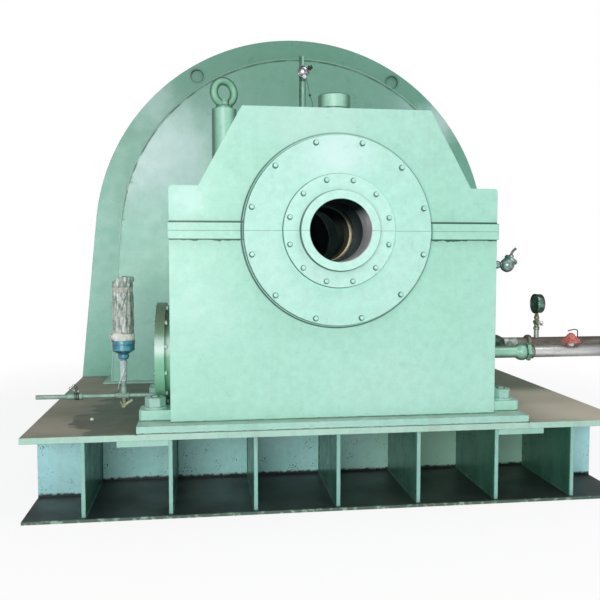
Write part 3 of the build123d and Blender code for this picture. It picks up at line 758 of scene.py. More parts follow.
# %% Small finishes
def two_shades(name, first, second, size=0.02, gloss=(0.35, 0.55), metallic=0.0, bump=0.3,
               grain=None, rim=None, **fixed):
    """A finish that wanders between two shades and two levels of gloss."""
    made, tree, shader = new_material(name, metallic=metallic, **fixed)
    place = own_place(tree)
    pattern = cloud(stretched(place, *grain) if grain else place, size, 5.0)
    shade = mixed(remap(pattern, 0.35, 0.65), colour(*first), colour(*second))
    # painted shade where the surface turns away from the view
    if rim:
        shade = darker_rim(tree, shade, *rim)
    link(shade, shader["Base Color"])
    link(remap(cloud(place, size * 0.6, 4.0), 0.3, 0.7, *gloss), shader["Roughness"])
    relief(shader, pattern, bump, size * 0.04)
    return made


def bore_metal(name, shade, dark, low, high, metallic):
    """Turned metal in the bearing: painted shade, with a painted highlight low on the right of the
    bore.
    """
    made, tree, shader = new_material(name, roughness=0.3, metallic=metallic)
    marks = remap(cloud(stretched(own_place(tree), 0.05, 16, 0.05), 0.05, 3.0), 0.3, 0.7, 0.6, 1.0)
    bright = lower_right(tree, low, high) * marks
    link(mixed(bright, colour(*dark), colour(*shade)), shader["Base Color"])
    return made


# the bearing metals are painted shade with a painted highlight low on the right
turned_steel = bore_metal("turned steel", (104, 124, 122), (10, 24, 26), 0.02, 0.17, 0.6)
white_metal = bore_metal("bearing metal", (236, 222, 182), (22, 40, 38), 0.06, 0.14, 0.5)
bare_pipe = two_shades("bare pipe", (188, 192, 188), (244, 246, 244), 0.05, (0.22, 0.4), 0.3,
                       grain=(0.25, 1, 1), rim=(0.7, (82, 80, 74)))
dull_pipe = two_shades("dull pipe", (116, 108, 98), (164, 160, 148), 0.03, (0.4, 0.6), 0.2,
                       grain=(0.3, 1, 1), rim=(0.7, (58, 52, 46)))
bolt_green = two_shades("bolt enamel", (172, 232, 212), (206, 246, 234), 0.012, (0.2, 0.35),
                        Coat_Weight=0.4, rim=(0.5, (70, 130, 110)))
dark_green = two_shades("grimy green", (30, 62, 50), (84, 124, 104), 0.012, (0.35, 0.55),
                        Coat_Weight=0.2, rim=(0.6, (14, 36, 28)))
gauge_grey = two_shades("gauge case", (84, 120, 106), (128, 164, 148), 0.03, (0.2, 0.32), 0.5,
                        rim=(0.95, (16, 32, 26)))
# the dial is painted dark green, a painted reflection of its glass at a grazing view
dial_reflection_green = two_shades("dial", (26, 62, 46), (34, 72, 54), 0.03, (0.5, 0.6))
dial_print = two_shades("dial print", (170, 190, 174), (186, 204, 188), 0.01, (0.5, 0.6))
olive_brass = two_shades(
    "olive brass", (100, 104, 88), (196, 198, 180), 0.006, (0.25, 0.45), 0.3,
    rim=(0.85, (36, 40, 32)))
film_inside = two_shades("bottle glass", (92, 112, 104), (120, 138, 128), 0.03, (0.2, 0.35))
white_spot = two_shades("bare nuts", (214, 236, 226), (248, 252, 250), 0.012, (0.2, 0.3),
                        Coat_Weight=0.5)
gauge_glass = two_shades(
    "gauge glass", (14, 44, 32), (20, 52, 38), 0.05, (0.03, 0.06), bump=0.0, Alpha=0.55,
    Coat_Weight=1.0)
pipe_mint = two_shades("pipe enamel", (150, 208, 182), (170, 222, 198), 0.05, (0.2, 0.35), 0.0,
                       Coat_Weight=0.5, rim=(0.85, (26, 66, 50)))
oil_pipe_mint = two_shades(
    "oil pipe enamel", (150, 184, 168), (176, 208, 192), 0.03, (0.3, 0.5), rim=(0.6, (60, 92, 78)))
dark_case = two_shades("grey case", (100, 132, 126), (180, 204, 198), 0.02, (0.12, 0.22), 0.3,
                       Coat_Weight=1.0, rim=(0.95, (14, 36, 32)))
bright_cast = two_shades(
    "polished cast", (168, 170, 176), (206, 208, 212), 0.01, (0.18, 0.32), 0.9,
    rim=(0.85, (30, 38, 38)))
white_cap = two_shades("white cap", (228, 230, 228), (240, 241, 238), 0.01, (0.3, 0.45))
dark_rubber = two_shades("black rubber", (26, 32, 30), (44, 50, 46), 0.01, (0.45, 0.65))
brass = two_shades("dull brass", (112, 112, 72), (168, 164, 112), 0.012, (0.3, 0.5), 0.7)
cream_brass = two_shades(
    "pale cock", (160, 168, 134), (204, 208, 176), 0.01, (0.35, 0.55), 0.1, rim=(0.8, (66, 70, 48)))
oiler_blue = two_shades("oiler blue", (54, 134, 156), (100, 180, 198), 0.02, (0.22, 0.35),
                        Coat_Weight=0.4, rim=(0.7, (22, 76, 96)))
faded_red = two_shades("faded red", (186, 92, 86), (224, 138, 130), 0.012, (0.45, 0.65), bump=0.5)
grey_wire = two_shades("grey wire", (84, 94, 96), (116, 124, 124), 0.01, (0.35, 0.5), 0.6)
cloth_white = two_shades(
    "cotton rag", (222, 222, 206), (240, 240, 230), 0.004, (0.8, 0.95), bump=0.6, Sheen_Weight=0.3)
tape_white = two_shades("thread tape", (214, 228, 224), (236, 242, 238), 0.004, (0.5, 0.7))
tape_brown = two_shades("packing tape", (172, 168, 160), (206, 208, 200), 0.02, (0.25, 0.4))
crumpled_film = two_shades(
    "crumpled film", (126, 138, 130), (210, 220, 210), 0.022, (0.14, 0.3), bump=0.8,
    grain=(1, 1, 0.7), Coat_Weight=0.6, rim=(0.45, (70, 88, 80)))
wrap_film = two_shades("riser film", (178, 196, 200), (224, 234, 236), 0.02, (0.14, 0.3), bump=0.7,
                       Coat_Weight=0.6)
rag_grey = two_shades("handled rag", (228, 228, 216), (252, 252, 246), 0.016, (0.8, 0.95), bump=0.6,
                      Sheen_Weight=0.3)
print(len(bpy.data.materials), "materials in all")

# %% [markdown]
# ## Paint the CAD pieces
# A CAD node keeps its mesh and its place, and only its material slot changes. Pieces that a finer
# one will stand in for are painted here too, and hidden where the finer one is made.

# %% Assign the finishes
finishes = {"front_pedestal_lower": pedestal_green, "front_pedestal_cap": pedestal_green,
            "rear_pedestal_lower": pedestal_green, "rear_pedestal_cap": pedestal_green,
            "round_covers": cover_green, "shaft_seals": seal_green, "cooler_covers": lid_green,
            "top_fittings": plain_green, "anchor_bolts": strip_green, "sole_plates": strip_green,
            "frame_skin": stator_green, "frame_front_wall": stator_green,
            "frame_rear_wall": stator_green, "front_end_shield": shield_green,
            "rear_end_shield": shield_green, "foot_strips": strip_green, "base_top_plate": deck,
            "base_bottom_plate": bay_floor, "base_ribs": rib_green, "base_cross_webs": web_green,
            "base_side_webs": web_green, "base_end_plates": end_green, "base_pads": strip_green,
            "bearing_shells": turned_steel, "bearing_liners": white_metal,
            "oil_line": oil_pipe_mint, "cock_bodies": brass, "drain_lever": cream_brass,
            "gauge_lever": brass, "water_pipe_front": bare_pipe, "water_pipe_rear": dull_pipe,
            "vent_cap": faded_red, "instruments": dark_case, "oiler_base": oiler_blue,
            "oiler_collar": cloth_white, "oiler_bottle": crumpled_film}
for node_name, material in finishes.items():
    nodes[node_name].material_slots[0].material = material
print("painted", len(finishes), "of", len(nodes), "nodes")

# %% [markdown]
# ## Geometry Nodes for what repeats
# Bolts, weld ripples, chain beads and dial ticks repeat by a rule, so a tree of Geometry Nodes
# grows them. The sizes are named inputs, and a seed fixes everything random. Once a tree has run,
# its result is kept as a plain mesh, so that nothing is left to recompute.


# %% Helpers for Geometry Nodes
def new_growth(name, inputs):
    """A Geometry Nodes tree with named inputs for its sizes, and one for its finish."""
    tree = bpy.data.node_groups.new(name, "GeometryNodeTree")
    tree.interface.new_socket("Geometry", in_out="INPUT", socket_type="NodeSocketGeometry")
    kinds = {int: "Int", float: "Float", tuple: "Vector"}
    for label, value in inputs.items():
        socket_type = "NodeSocket" + kinds[type(value)]
        socket = tree.interface.new_socket(label, in_out="INPUT", socket_type=socket_type)
        socket.default_value = value
    tree.interface.new_socket("Finish", in_out="INPUT", socket_type="NodeSocketMaterial")
    tree.interface.new_socket("Geometry", in_out="OUTPUT", socket_type="NodeSocketGeometry")
    return tree, named(add(tree, "NodeGroupInput")), add(tree, "NodeGroupOutput").inputs


def finish_growth(tree, given, result, geometry):
    """Every tree ends the same way: instances made real, then their finish."""
    real = node(tree, "GeometryNodeRealizeInstances", {"Geometry": geometry})
    done = node(tree, "GeometryNodeSetMaterial", {"Geometry": real, "Material": given["Finish"]})
    link(done, result["Geometry"])


def settle(obj, body="machine", stands_for=()):
    """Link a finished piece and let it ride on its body."""
    if obj.name not in bpy.context.scene.collection.objects:
        bpy.context.scene.collection.objects.link(obj)
    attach(obj, body)
    if stands_for:
        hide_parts(*stands_for)
    return obj


def grow(name, tree, base, slot="machine_green", **sizes):
    """Run a tree once on a base mesh and keep what it made as a plain mesh."""
    seed = bpy.data.objects.new(name + "_seed", base)
    bpy.context.scene.collection.objects.link(seed)
    modifier = seed.modifiers.new("growth", "NODES")
    modifier.node_group = tree
    for item in tree.interface.items_tree:
        label = item.name.replace(" ", "_")
        if item.in_out == "INPUT" and label in sizes:
            modifier[item.identifier] = sizes[label]
    evaluated = seed.evaluated_get(bpy.context.evaluated_depsgraph_get())
    mesh = bpy.data.meshes.new_from_object(evaluated)
    mesh.name = name
    mesh.shade_smooth()
    bpy.data.objects.remove(seed)
    print(name, len(mesh.polygons), "faces")
    return settle(bpy.data.objects.new(name, mesh))


print("growth helpers ready")

# %% [markdown]
# ## Turned parts and tubes
# Most fittings are turned on a lathe, so one helper spins an outline of radius and height round
# an axis. A second bends a wire along points, and a third joins parts with different finishes
# into one object, which is how a fitting is handled in the real world too.


# %% Helpers for turned parts, tubes and joined pieces
def lathed(outline, count=48, closed=False):
    """Spin an outline of (radius, height) points round the upright axis."""
    form = bmesh.new()
    rings = []
    for radius, height in outline:
        around = count if radius > 1e-6 else 1
        rings.append([form.verts.new((radius * cos(tau * k / count), radius * sin(tau * k / count),
                                      height)) for k in range(around)])
    for low, high in zip(rings, rings[1:] + rings[:1] if closed else rings[1:]):
        for k in range(count):
            corners = [low[k % len(low)], low[(k + 1) % len(low)], high[(k + 1) % len(high)],
                       high[k % len(high)]]
            form.faces.new(list(dict.fromkeys(corners)))
    for ring in ([] if closed else [rings[0], rings[-1]]):
        if len(ring) > 1:
            form.faces.new(ring)
    bmesh.ops.recalc_face_normals(form, faces=form.faces)
    return to_mesh(form)


def to_mesh(form, sharp=35):
    """A smooth-shaded mesh with its real corners kept sharp."""
    mesh = bpy.data.meshes.new("part")
    form.to_mesh(mesh)
    form.free()
    mesh.shade_smooth()
    mesh.set_sharp_from_angle(angle=radians(sharp))
    return mesh


def curve_mesh(curve):
    """The plain mesh of a curve or of a text."""
    carrier = bpy.data.objects.new("carrier", curve)
    mesh = bpy.data.meshes.new_from_object(carrier)
    bpy.data.objects.remove(carrier)
    mesh.materials.clear()
    return mesh


def tube(points, radius, order=3, sides=3):
    """A round wire or pipe along points."""
    line = bpy.data.curves.new("wire", "CURVE")
    line.dimensions = "3D"
    line.bevel_depth = radius
    line.bevel_resolution = sides
    line.use_fill_caps = True
    run = line.splines.new("NURBS")
    run.points.add(len(points) - 1)
    for point, place in zip(run.points, points):
        point.co = (*place, 1)
    run.order_u = order
    run.use_endpoint_u = True
    return curve_mesh(line)


def mm(*points):
    """An outline whose radii and heights are given in millimetres."""
    return [(radius / 1000, height / 1000) for radius, height in points]


def aimed(place, direction=(0, 0, 1), turn=0.0):
    """Stand a lathed part at a place with its axis along a direction."""
    lean = Vector(direction).to_track_quat("Z", "Y").to_matrix().to_4x4()
    return Matrix.Translation(place) @ lean @ Matrix.Rotation(turn, 4, "Z")


def turned(outline, count, finish, place, direction=None, turn=0.0):
    """A lathed part with its finish, stood upright at a place or along a direction."""
    stand = aimed(place, direction, turn) if direction else Matrix.Translation(place)
    return lathed(outline, count), finish, stand


def assembled(name, parts, body="machine", stands_for=()):
    """One object from several parts, each a mesh with its finish and its place."""
    whole = bmesh.new()
    finishes = []
    for mesh, finish, place in parts:
        mesh.transform(place)
        done = len(whole.faces)
        whole.from_mesh(mesh)
        if finish not in finishes:
            finishes.append(finish)
        whole.faces.ensure_lookup_table()
        for face in whole.faces[done:]:
            face.material_index = finishes.index(finish)
        bpy.data.meshes.remove(mesh)
    mesh = bpy.data.meshes.new(name)
    whole.to_mesh(mesh)
    whole.free()
    for finish in finishes:
        mesh.materials.append(finish)
    print(name, len(mesh.polygons), "faces")
    return settle(bpy.data.objects.new(name, mesh), body, stands_for)


here = Matrix.Identity(4)
print("part helpers ready")

# %% [markdown]
# ## Bolt rings
# The cover bolts are small heads under thick paint, so their corners have gone round. One head
# is spun from an outline, and a tree sets copies on a ring: it works out each angle from the
# point's index, faces the ring to the front, back or side, and spins each head by chance, as
# spanners leave them.

# %% Ring tree
ring_tree, given, result = new_growth(
    "ring of copies",
    {"Ring Radius": 0.1, "Count": 12, "First Angle": 0.0, "Step Angle": 0.5,
     "Centre": (0.0, 0.0, 0.0), "Facing": 0.0, "Scatter": 0.0, "Seed": 1})
index = node(ring_tree, "GeometryNodeInputIndex")
angle = index * given["Step Angle"] + given["First Angle"]
ring_place = node(ring_tree, "ShaderNodeCombineXYZ",
                  {0: maths("COSINE", angle) * given["Ring Radius"],
                   2: maths("SINE", angle) * given["Ring Radius"]})
points = node(ring_tree, "GeometryNodePoints", {"Count": given["Count"], "Position": ring_place})
chance = node(ring_tree, "FunctionNodeRandomValue",
              {2: 0.0, 3: given["Scatter"], "Seed": given["Seed"]}, output=1)
spin = node(ring_tree, "ShaderNodeCombineXYZ", {1: chance - angle})
copies = node(ring_tree, "GeometryNodeInstanceOnPoints",
              {"Points": points, "Instance": given["Geometry"], "Rotation": spin})
faced = node(ring_tree, "ShaderNodeCombineXYZ", {2: given["Facing"]})
moved = node(ring_tree, "GeometryNodeTransform",
             {"Geometry": copies, "Translation": given["Centre"], "Rotation": faced})
finish_growth(ring_tree, given, result, moved)
print("ring tree:", len(ring_tree.nodes), "nodes")


# %% Bolts on covers, seals and cooler lids
def painted_head(radius, height):
    """A bolt head, rounded by paint, facing the front."""
    outline = [(radius, 0), (radius, height * 0.72), (radius * 0.86, height * 0.92),
               (radius * 0.5, height), (0, height)]
    head = lathed(outline, 14)
    head.transform(aimed((0, 0, -0.0003), (0, -1, 0)))
    return head


head_height = 0.010
full_turn = {"Count": bolt_count, "Step_Angle": bolt_step, "First_Angle": first_bolt,
             "Scatter": tau}
for end, side in ends:
    facing = 0.0 if side > 0 else pi
    grow(end + "_cover_bolts", ring_tree, painted_head(0.0092, head_height),
         Ring_Radius=cover_bolt_ring, Centre=(0, side * cover_front, axis_z), Facing=facing, Seed=3,
         Finish=bolt_green, **full_turn)
    grow(end + "_seal_bolts", ring_tree, painted_head(0.0088, head_height * 0.9),
         Ring_Radius=seal_bolt_ring, Centre=(0, side * seal_front, axis_z), Facing=facing, Seed=7,
         Finish=bolt_green, **full_turn)

lid_radius = 0.235
lid_bolt_ring = lid_radius - 0.018
lid_back = 0.042
for hand, side in (("left", -1), ("right", 1)):
    for end, along in ends:
        grow(f"{end}_{hand}_lid_bolts", ring_tree, painted_head(0.012, head_height * 0.5),
             Ring_Radius=lid_bolt_ring,
             Centre=(side * lid_faces[hand], along * pedestal_mid, cooler_z), Facing=side * pi / 2,
             Seed=5, Finish=plain_green, **full_turn)
grow("left_lid_nuts", ring_tree, painted_head(0.01, head_height), Ring_Radius=lid_bolt_ring + 0.002,
     Centre=(lid_back - lid_faces["left"], pedestal_mid, cooler_z), Facing=pi / 2, Seed=9,
     Finish=white_spot, **full_turn)

rim_first, rim_step = radians(6.1), radians(12.0)
for end, side in ends:
    for hand, first, step in (("right", rim_first, rim_step), ("left", pi - rim_first, -rim_step)):
        grow(f"{end}_{hand}_shield_screws", ring_tree, painted_head(0.007, 0.005), Count=2,
             First_Angle=first, Ring_Radius=shield_reach - 0.017,
             Centre=(0, side * shield_low.y, axis_z), Step_Angle=step,
             Facing=0.0 if side > 0 else pi, Scatter=tau, Seed=4, Finish=shield_green)

# %% [markdown]
# ## Weld beads
# The base and the stator are welded from plate, and a bead runs wherever two plates meet. A bead
# is a thin bar along the joint whose thickness wanders with every ripple of the torch. The tree
# turns the edges of a line mesh into a curve, cuts it at each ripple and gives it a round
# section. With deeper, regular ribs the same tree makes a corrugated conduit.


# %% Bead tree
def cut_line(tree, given):
    """The line mesh that was given, as a curve with a point at every pitch."""
    run = node(tree, "GeometryNodeMeshToCurve", {"Mesh": given["Geometry"]})
    return node(tree, "GeometryNodeResampleCurve", {"Curve": run, "Length": given["Pitch"]},
                mode="LENGTH")


bead_tree, given, result = new_growth(
    "rippled bead",
    {"Thickness": 0.004, "Pitch": 0.008, "Chance": 0.2, "Rib": 0.0, "Sides": 6, "Seed": 1})
run = cut_line(bead_tree, given)
section = node(bead_tree, "GeometryNodeCurvePrimitiveCircle",
               {"Resolution": given["Sides"], "Radius": given["Thickness"]})
wander = node(bead_tree, "FunctionNodeRandomValue",
              {2: 1.0 - given["Chance"], 3: 1.0 + given["Chance"], "Seed": given["Seed"]}, output=1)
odd = maths("MODULO", node(bead_tree, "GeometryNodeInputIndex"), 2.0)
scale = odd * given["Rib"] + wander
bar = node(bead_tree, "GeometryNodeCurveToMesh",
           {"Curve": run, "Profile Curve": section, "Scale": scale, "Fill Caps": True})
finish_growth(bead_tree, given, result, bar)
print("bead tree:", len(bead_tree.nodes), "nodes")


# %% Run the beads along the joints
def lines(*runs):
    """A mesh of bare edges through each run of points."""
    mesh = bpy.data.meshes.new("lines")
    places, edges = [], []
    for run in runs:
        edges += [(len(places) + k, len(places) + k + 1) for k in range(len(run) - 1)]
        places += [tuple(point) for point in run]
    mesh.from_pydata(places, edges, [])
    return mesh


def arch_run(radius, foot, low, y):
    """The line up one side, round the arch and down the other side."""
    rise = axis_z - deck_z
    turn = atan2(-rise, foot) + acos(radius / hypot(foot, rise))
    steps = 60
    angles = [turn + (pi - 2 * turn) * k / steps for k in range(steps + 1)]
    arc = [(radius * cos(a), y, axis_z + radius * sin(a)) for a in angles]
    return [(foot, y, low), *arc, (-foot, y, low)]


def across(x, y, z):
    """A level run from one side of the machine to the other."""
    return [(-x, y, z), (x, y, z)]


def both_ends(*runs):
    """Runs at the front and the same runs mirrored to the back."""
    return [[(x, end * y, z) for x, y, z in run] for end in (1, -1) for run in runs]


rib_pitch = 0.350
rib_half = 0.008
rib_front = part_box("base_ribs")[0].y
web_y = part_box("base_cross_webs")[0].y
ceiling_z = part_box("base_top_plate")[0].z
bay_runs = []
for rib in range(-3, 4):
    for side in (-1, 1):
        x = rib * rib_pitch + side * rib_half
        bay_runs += both_ends([(x, rib_front + 0.01, floor_z), (x, web_y, floor_z)],
                              [(x, rib_front + 0.01, ceiling_z), (x, web_y, ceiling_z)],
                              [(x, web_y, floor_z), (x, web_y, ceiling_z)])
grow("bay_welds", bead_tree, lines(*bay_runs), Thickness=0.0035, Pitch=0.012, Seed=2,
     Finish=rib_green)

shield_foot = shield_high.x
wall_y = shield_high.y
foot_z = shield_low.z
shield_runs = both_ends(
    arch_run(shield_reach - 0.002, shield_foot - 0.002, foot_z, shield_low.y + 0.002),
    arch_run(shield_reach + 0.001, shield_foot + 0.001, foot_z, wall_y),
    across(shield_foot, shield_low.y, foot_z))
grow("shield_welds", bead_tree, lines(*shield_runs), Thickness=0.005, Pitch=0.01, Seed=5,
     Finish=bead_green)

wall_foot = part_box("frame_front_wall")[1].x
strip_low, strip_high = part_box("foot_strips")
sole_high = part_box("sole_plates")[1]
sole_back = deck_front + 0.820
deck_runs = []
for side in (-1, 1):
    sole_edge = side * sole_high.x
    deck_runs += [[(side * shield_foot, wall_y, deck_z), (side * wall_foot, wall_y, deck_z)],
                  [(sole_edge, deck_front, deck_z), (sole_edge, sole_back, deck_z)]]
deck_runs += [across(strip_high.x, strip_low.y, deck_z), across(sole_high.x, sole_back, deck_z)]
deck_runs = both_ends(*deck_runs)
grow("deck_welds", bead_tree, lines(*deck_runs), Thickness=0.004, Pitch=0.01, Seed=8,
     Finish=strip_green)

# %% [markdown]
# ## Anchor bolt tops
# The pedestals are held down by big bolts, and the turned end of each stud stands out of its hex
# head. Four of them make a rectangle, so a grid of two by two points carries the copies.

# %% Stud tree
stud_tree, given, result = new_growth(
    "four corners", {"Width": 1.0, "Depth": 1.0, "Centre": (0.0, 0.0, 0.0)})
grid = node(stud_tree, "GeometryNodeMeshGrid",
            {"Size X": given["Width"], "Size Y": given["Depth"], "Vertices X": 2, "Vertices Y": 2})
copies = node(stud_tree, "GeometryNodeInstanceOnPoints",
              {"Points": grid, "Instance": given["Geometry"]})
moved = node(stud_tree, "GeometryNodeTransform",
             {"Geometry": copies, "Translation": given["Centre"]})
finish_growth(stud_tree, given, result, moved)

anchor_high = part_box("anchor_bolts")[1]
washer_radius = 0.050
anchor_x = anchor_high.x - washer_radius
anchor_depth = 0.524
for end, side in ends:
    stud = mm((21, -1), (21, 1), (18, 3), (18, 6), (14, 9), (0, 9))
    grow(end + "_stud_tops", stud_tree, lathed(stud, 28), Width=2 * anchor_x, Depth=anchor_depth,
         Centre=(0, side * pedestal_mid, anchor_high.z), Finish=pipe_mint)
    chamfer = mm((40, -10), (40, -4), (35.5, 0.6), (0, 0.6))
    grow(end + "_head_tops", stud_tree, lathed(chamfer, 36), Width=2 * anchor_x, Depth=anchor_depth,
         Centre=(0, side * pedestal_mid, anchor_high.z), Finish=strip_green)

# %% [markdown]
# ## Lifting eye and breather
# The lifting eye is a forged ring on a stepped collar. The CAD ring has eight flat sides, and a
# real forging is round, so a round ring a hair thicker is slipped over it, with a neck that
# flares into its collar. The breather gets the flange that it is bolted down with.

# %% Eye and breather
boss_place = Vector((-0.463, pedestal_mid, 1.740))
eye_mean, eye_bar = 0.052, 0.0185
eye_centre = boss_place.z + 0.024 + eye_mean
eye_turn = radians(28)


def round_ring(mean, bar, count=56, sides=20):
    """A ring of round bar about the upright axis."""
    outline = [(mean + bar * cos(tau * k / sides), bar * sin(tau * k / sides))
               for k in range(sides)]
    return lathed(outline, count, closed=True)


eye_axis = (sin(eye_turn), -cos(eye_turn), 0)
collar = mm((39, -0.2), (39, 11.5), (37.5, 13), (31, 14), (26.2, 16.5), (23.8, 21), (23.4, 29),
            (24, 36), (20, 40), (0, 40))
assembled("lifting_eye", [
    (round_ring(eye_mean, eye_bar), dusty_green,
     aimed((boss_place.x, boss_place.y, eye_centre), eye_axis)),
    turned(collar, 48, dusty_green, boss_place),
])
breather_y = deck_front + 0.150
flange = mm((69.2, 0.2), (74.5, 0.2), (74.5, 6), (73, 7.5), (69.2, 8))
joint_ring = mm((69.2, 8.5), (70.6, 9), (70.6, 12), (69.2, 12.5))
for end, side in ends:
    foot = Matrix.Translation((0, side * breather_y, hump_z))
    assembled(end + "_breather_flange", [
        (lathed(flange, 56, closed=True), bolt_green, foot.copy()),
        (lathed(joint_ring, 56, closed=True), dark_green, foot)])

# %% [markdown]
# ## Top thermometer
# A dial thermometer stands on the hump: a bright round case seen from the front, with a dark
# bezel, a white knob, a cable gland that leans to the right and a capillary that runs up beside
# its stem. Its seal hangs on a bead chain, which is one bead repeated along two hanging lines.

# %% Top thermometer
stem_x, stem_top = -0.105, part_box("instruments")[1].z
top_head = Vector((stem_x + 0.004, pedestal_mid - 0.016, 1.918))
to_front = (0, -1, 0)
case = mm((15, -24), (23, -21), (26.5, -12), (26.5, 8), (24, 14), (18, 20), (9, 23.5), (0, 24.5))
gland_aim = Vector((0.87, -0.15, 0.5)).normalized()
gland = mm((8, 18), (8, 26), (11.5, 26), (11.5, 35), (8.5, 37), (8.5, 45), (6, 48), (0, 48))
knob = mm((5, 0), (5, 10), (8.5, 12), (9.5, 16), (8.5, 21), (4.5, 24), (0, 24.5))
stem_low = Vector((stem_x + 0.005, pedestal_mid, hump_z))
assembled("top_thermometer", [
    (tube([stem_low, (stem_low.x, stem_low.y, stem_top)], 0.0062, 2), pipe_mint, here),
    (tube([(stem_x - 0.009, pedestal_mid, hump_z), (stem_x - 0.009, pedestal_mid, 1.8),
           (stem_x - 0.008, pedestal_mid, stem_top)], 0.0042), dark_green, here),
    turned(mm((20, 0), (20, 6), (10, 9), (0, 9)), 6, plain_green, stem_low),
    turned(case, 48, bright_cast, top_head, to_front),
    (round_ring(0.0262, 0.003, 48, 12), dark_case,
     aimed(top_head + Vector((0, -0.009, 0)), to_front)),
    turned(gland, 32, dark_rubber, top_head, gland_aim),
    turned(knob, 32, white_cap, top_head + Vector((0.001, -0.014, -0.027)), (0.05, -1, -0.15)),
    (lathed(mm((11, 0), (11, 16), (0, 16)), 6), dark_case,
     aimed(top_head + Vector((0, 0.016, -0.04)))),
], stands_for=["instruments"])

# %% Bead chain
chain_tree, given, result = new_growth("beads along lines", {"Bead": 0.002, "Pitch": 0.005})
run = cut_line(chain_tree, given)
bead = node(chain_tree, "GeometryNodeMeshIcoSphere", {"Radius": given["Bead"], "Subdivisions": 1})
beads = node(chain_tree, "GeometryNodeInstanceOnPoints", {"Points": run, "Instance": bead})
finish_growth(chain_tree, given, result, beads)
chain_y = pedestal_mid - 0.030
hook = top_head + Vector((0.012, -0.012, -0.030))
clip = Vector((-0.0719, chain_y, 1.8085))
straight = [(hook.x - 0.002, chain_y, hook.z + 0.004), (hook.x - 0.004, chain_y, 1.8),
            (hook.x - 0.003, chain_y, hump_z + 0.002)]
slack = [(hook.x, chain_y, hook.z), (hook.x + 0.007, chain_y, 1.862),
         (hook.x + 0.012, chain_y, 1.835), tuple(clip), (clip.x + 0.012, chain_y, 1.776),
         (clip.x + 0.016, chain_y, hump_z + 0.002)]
grow("bead_chain", chain_tree, lines(straight, slack), "cast_grey", Bead=0.0023, Pitch=0.005,
     Finish=dark_green)
assembled("chain_clip", [
    turned(mm((8.8, 0), (8.8, 3), (0, 3)), 3, dark_rubber, clip, to_front, radians(20)),
])

# %% [markdown]
# ## Side thermometer
# A second thermometer leans out of the pedestal's right side. Its cast head is shaped like an
# onion: a round belly, a waist and a wide screwed lid with a cable gland on it. The cable runs in
# a corrugated metal conduit, which is the weld bead's tree again, with regular ribs this time.

# %% Side thermometer and its conduit
side_head = Vector((0.812, deck_front + 0.200, deck_z + 0.682))
side_aim = Vector((sin(radians(37)), 0, cos(radians(37))))
side_root = Vector((side_x, side_head.y, side_head.z))
to_right = (1, 0, 0)
belly = mm((0, -34), (12, -32.5), (22, -27), (29, -18), (32.5, -7), (32.5, 3), (30, 12), (28.5, 17),
           (28.5, 20), (30.5, 22), (31.8, 24), (31.8, 31), (30, 34.5), (20, 36), (0, 36.5))
bead = mm((11, 16), (11, 46), (16, 50), (18.5, 57), (18.5, 66), (16, 73), (12, 77), (12, 90),
          (0, 90))
side_gland = side_head + side_aim * 0.031 + Vector((-0.008, -0.013, 0.007))
gland_nut = mm((10.5, -4), (11.2, 2), (11.2, 10), (9.5, 13), (7, 14.5), (0, 14.5))
assembled("side_thermometer", [
    turned(mm((20, -1), (20, 14), (18, 18), (0, 18)), 6, dark_rubber, side_root, to_right),
    turned(bead, 40, dark_case, side_root, to_right),
    turned(belly, 56, dark_case, side_head, side_aim),
    turned(gland_nut, 32, bright_cast, side_gland, (0.12, -0.25, 1)),
], stands_for=["instruments"])
conduit = [side_gland + Vector(step)
           for step in ((0, -0.002, 0.01), (0.001, -0.004, 0.017), (0.004, -0.005, 0.025),
                        (0.011, -0.005, 0.034), (0.021, -0.005, 0.042))]
grow("sensor_conduit", bead_tree, lines(conduit), "cast_grey", Thickness=0.0052, Pitch=0.003,
     Chance=0.0, Rib=0.22, Sides=16, Finish=grey_wire)

# %% [markdown]
# ## Pressure gauge
# The gauge faces the pedestal, so the photograph shows its rim and a dark sliver of glass. From
# the left one can read it: a dial with ticks and numbers, a needle, a raised rim and a domed glass.
# The ticks use the bolt ring tree with a small bar in place of a bolt.

# %% Gauge case, glass and needle
gauge_place = Vector((gauge_cock_x + 0.024, deck_front + 0.490, deck_z + 0.483))
to_left = (-1, 0, 0)
gauge_case = mm((0, 0), (40, 0), (45.5, 1.5), (48, 5), (48.4, 28), (49.8, 29), (50, 36), (49, 38),
                (46.2, 38), (45.5, 35), (45, 29), (0, 29))
dome = mm((45.4, 33), (45.4, 34.5), (30, 36.2), (0, 37))


def needle_mesh(length, tail, width):
    """A flat tapered needle that points along X, facing the front."""
    form = bmesh.new()
    outline = [(-tail, -width), (length, -width * 0.15), (length, width * 0.15), (-tail, width)]
    form.faces.new([form.verts.new((x, 0, z)) for x, z in outline])
    slab = bmesh.ops.extrude_face_region(form, geom=form.faces[:])
    bmesh.ops.translate(form, verts=[v for v in slab["geom"] if isinstance(v, bmesh.types.BMVert)],
                        vec=(0, 0.0006, 0))
    bmesh.ops.recalc_face_normals(form, faces=form.faces)
    return to_mesh(form)


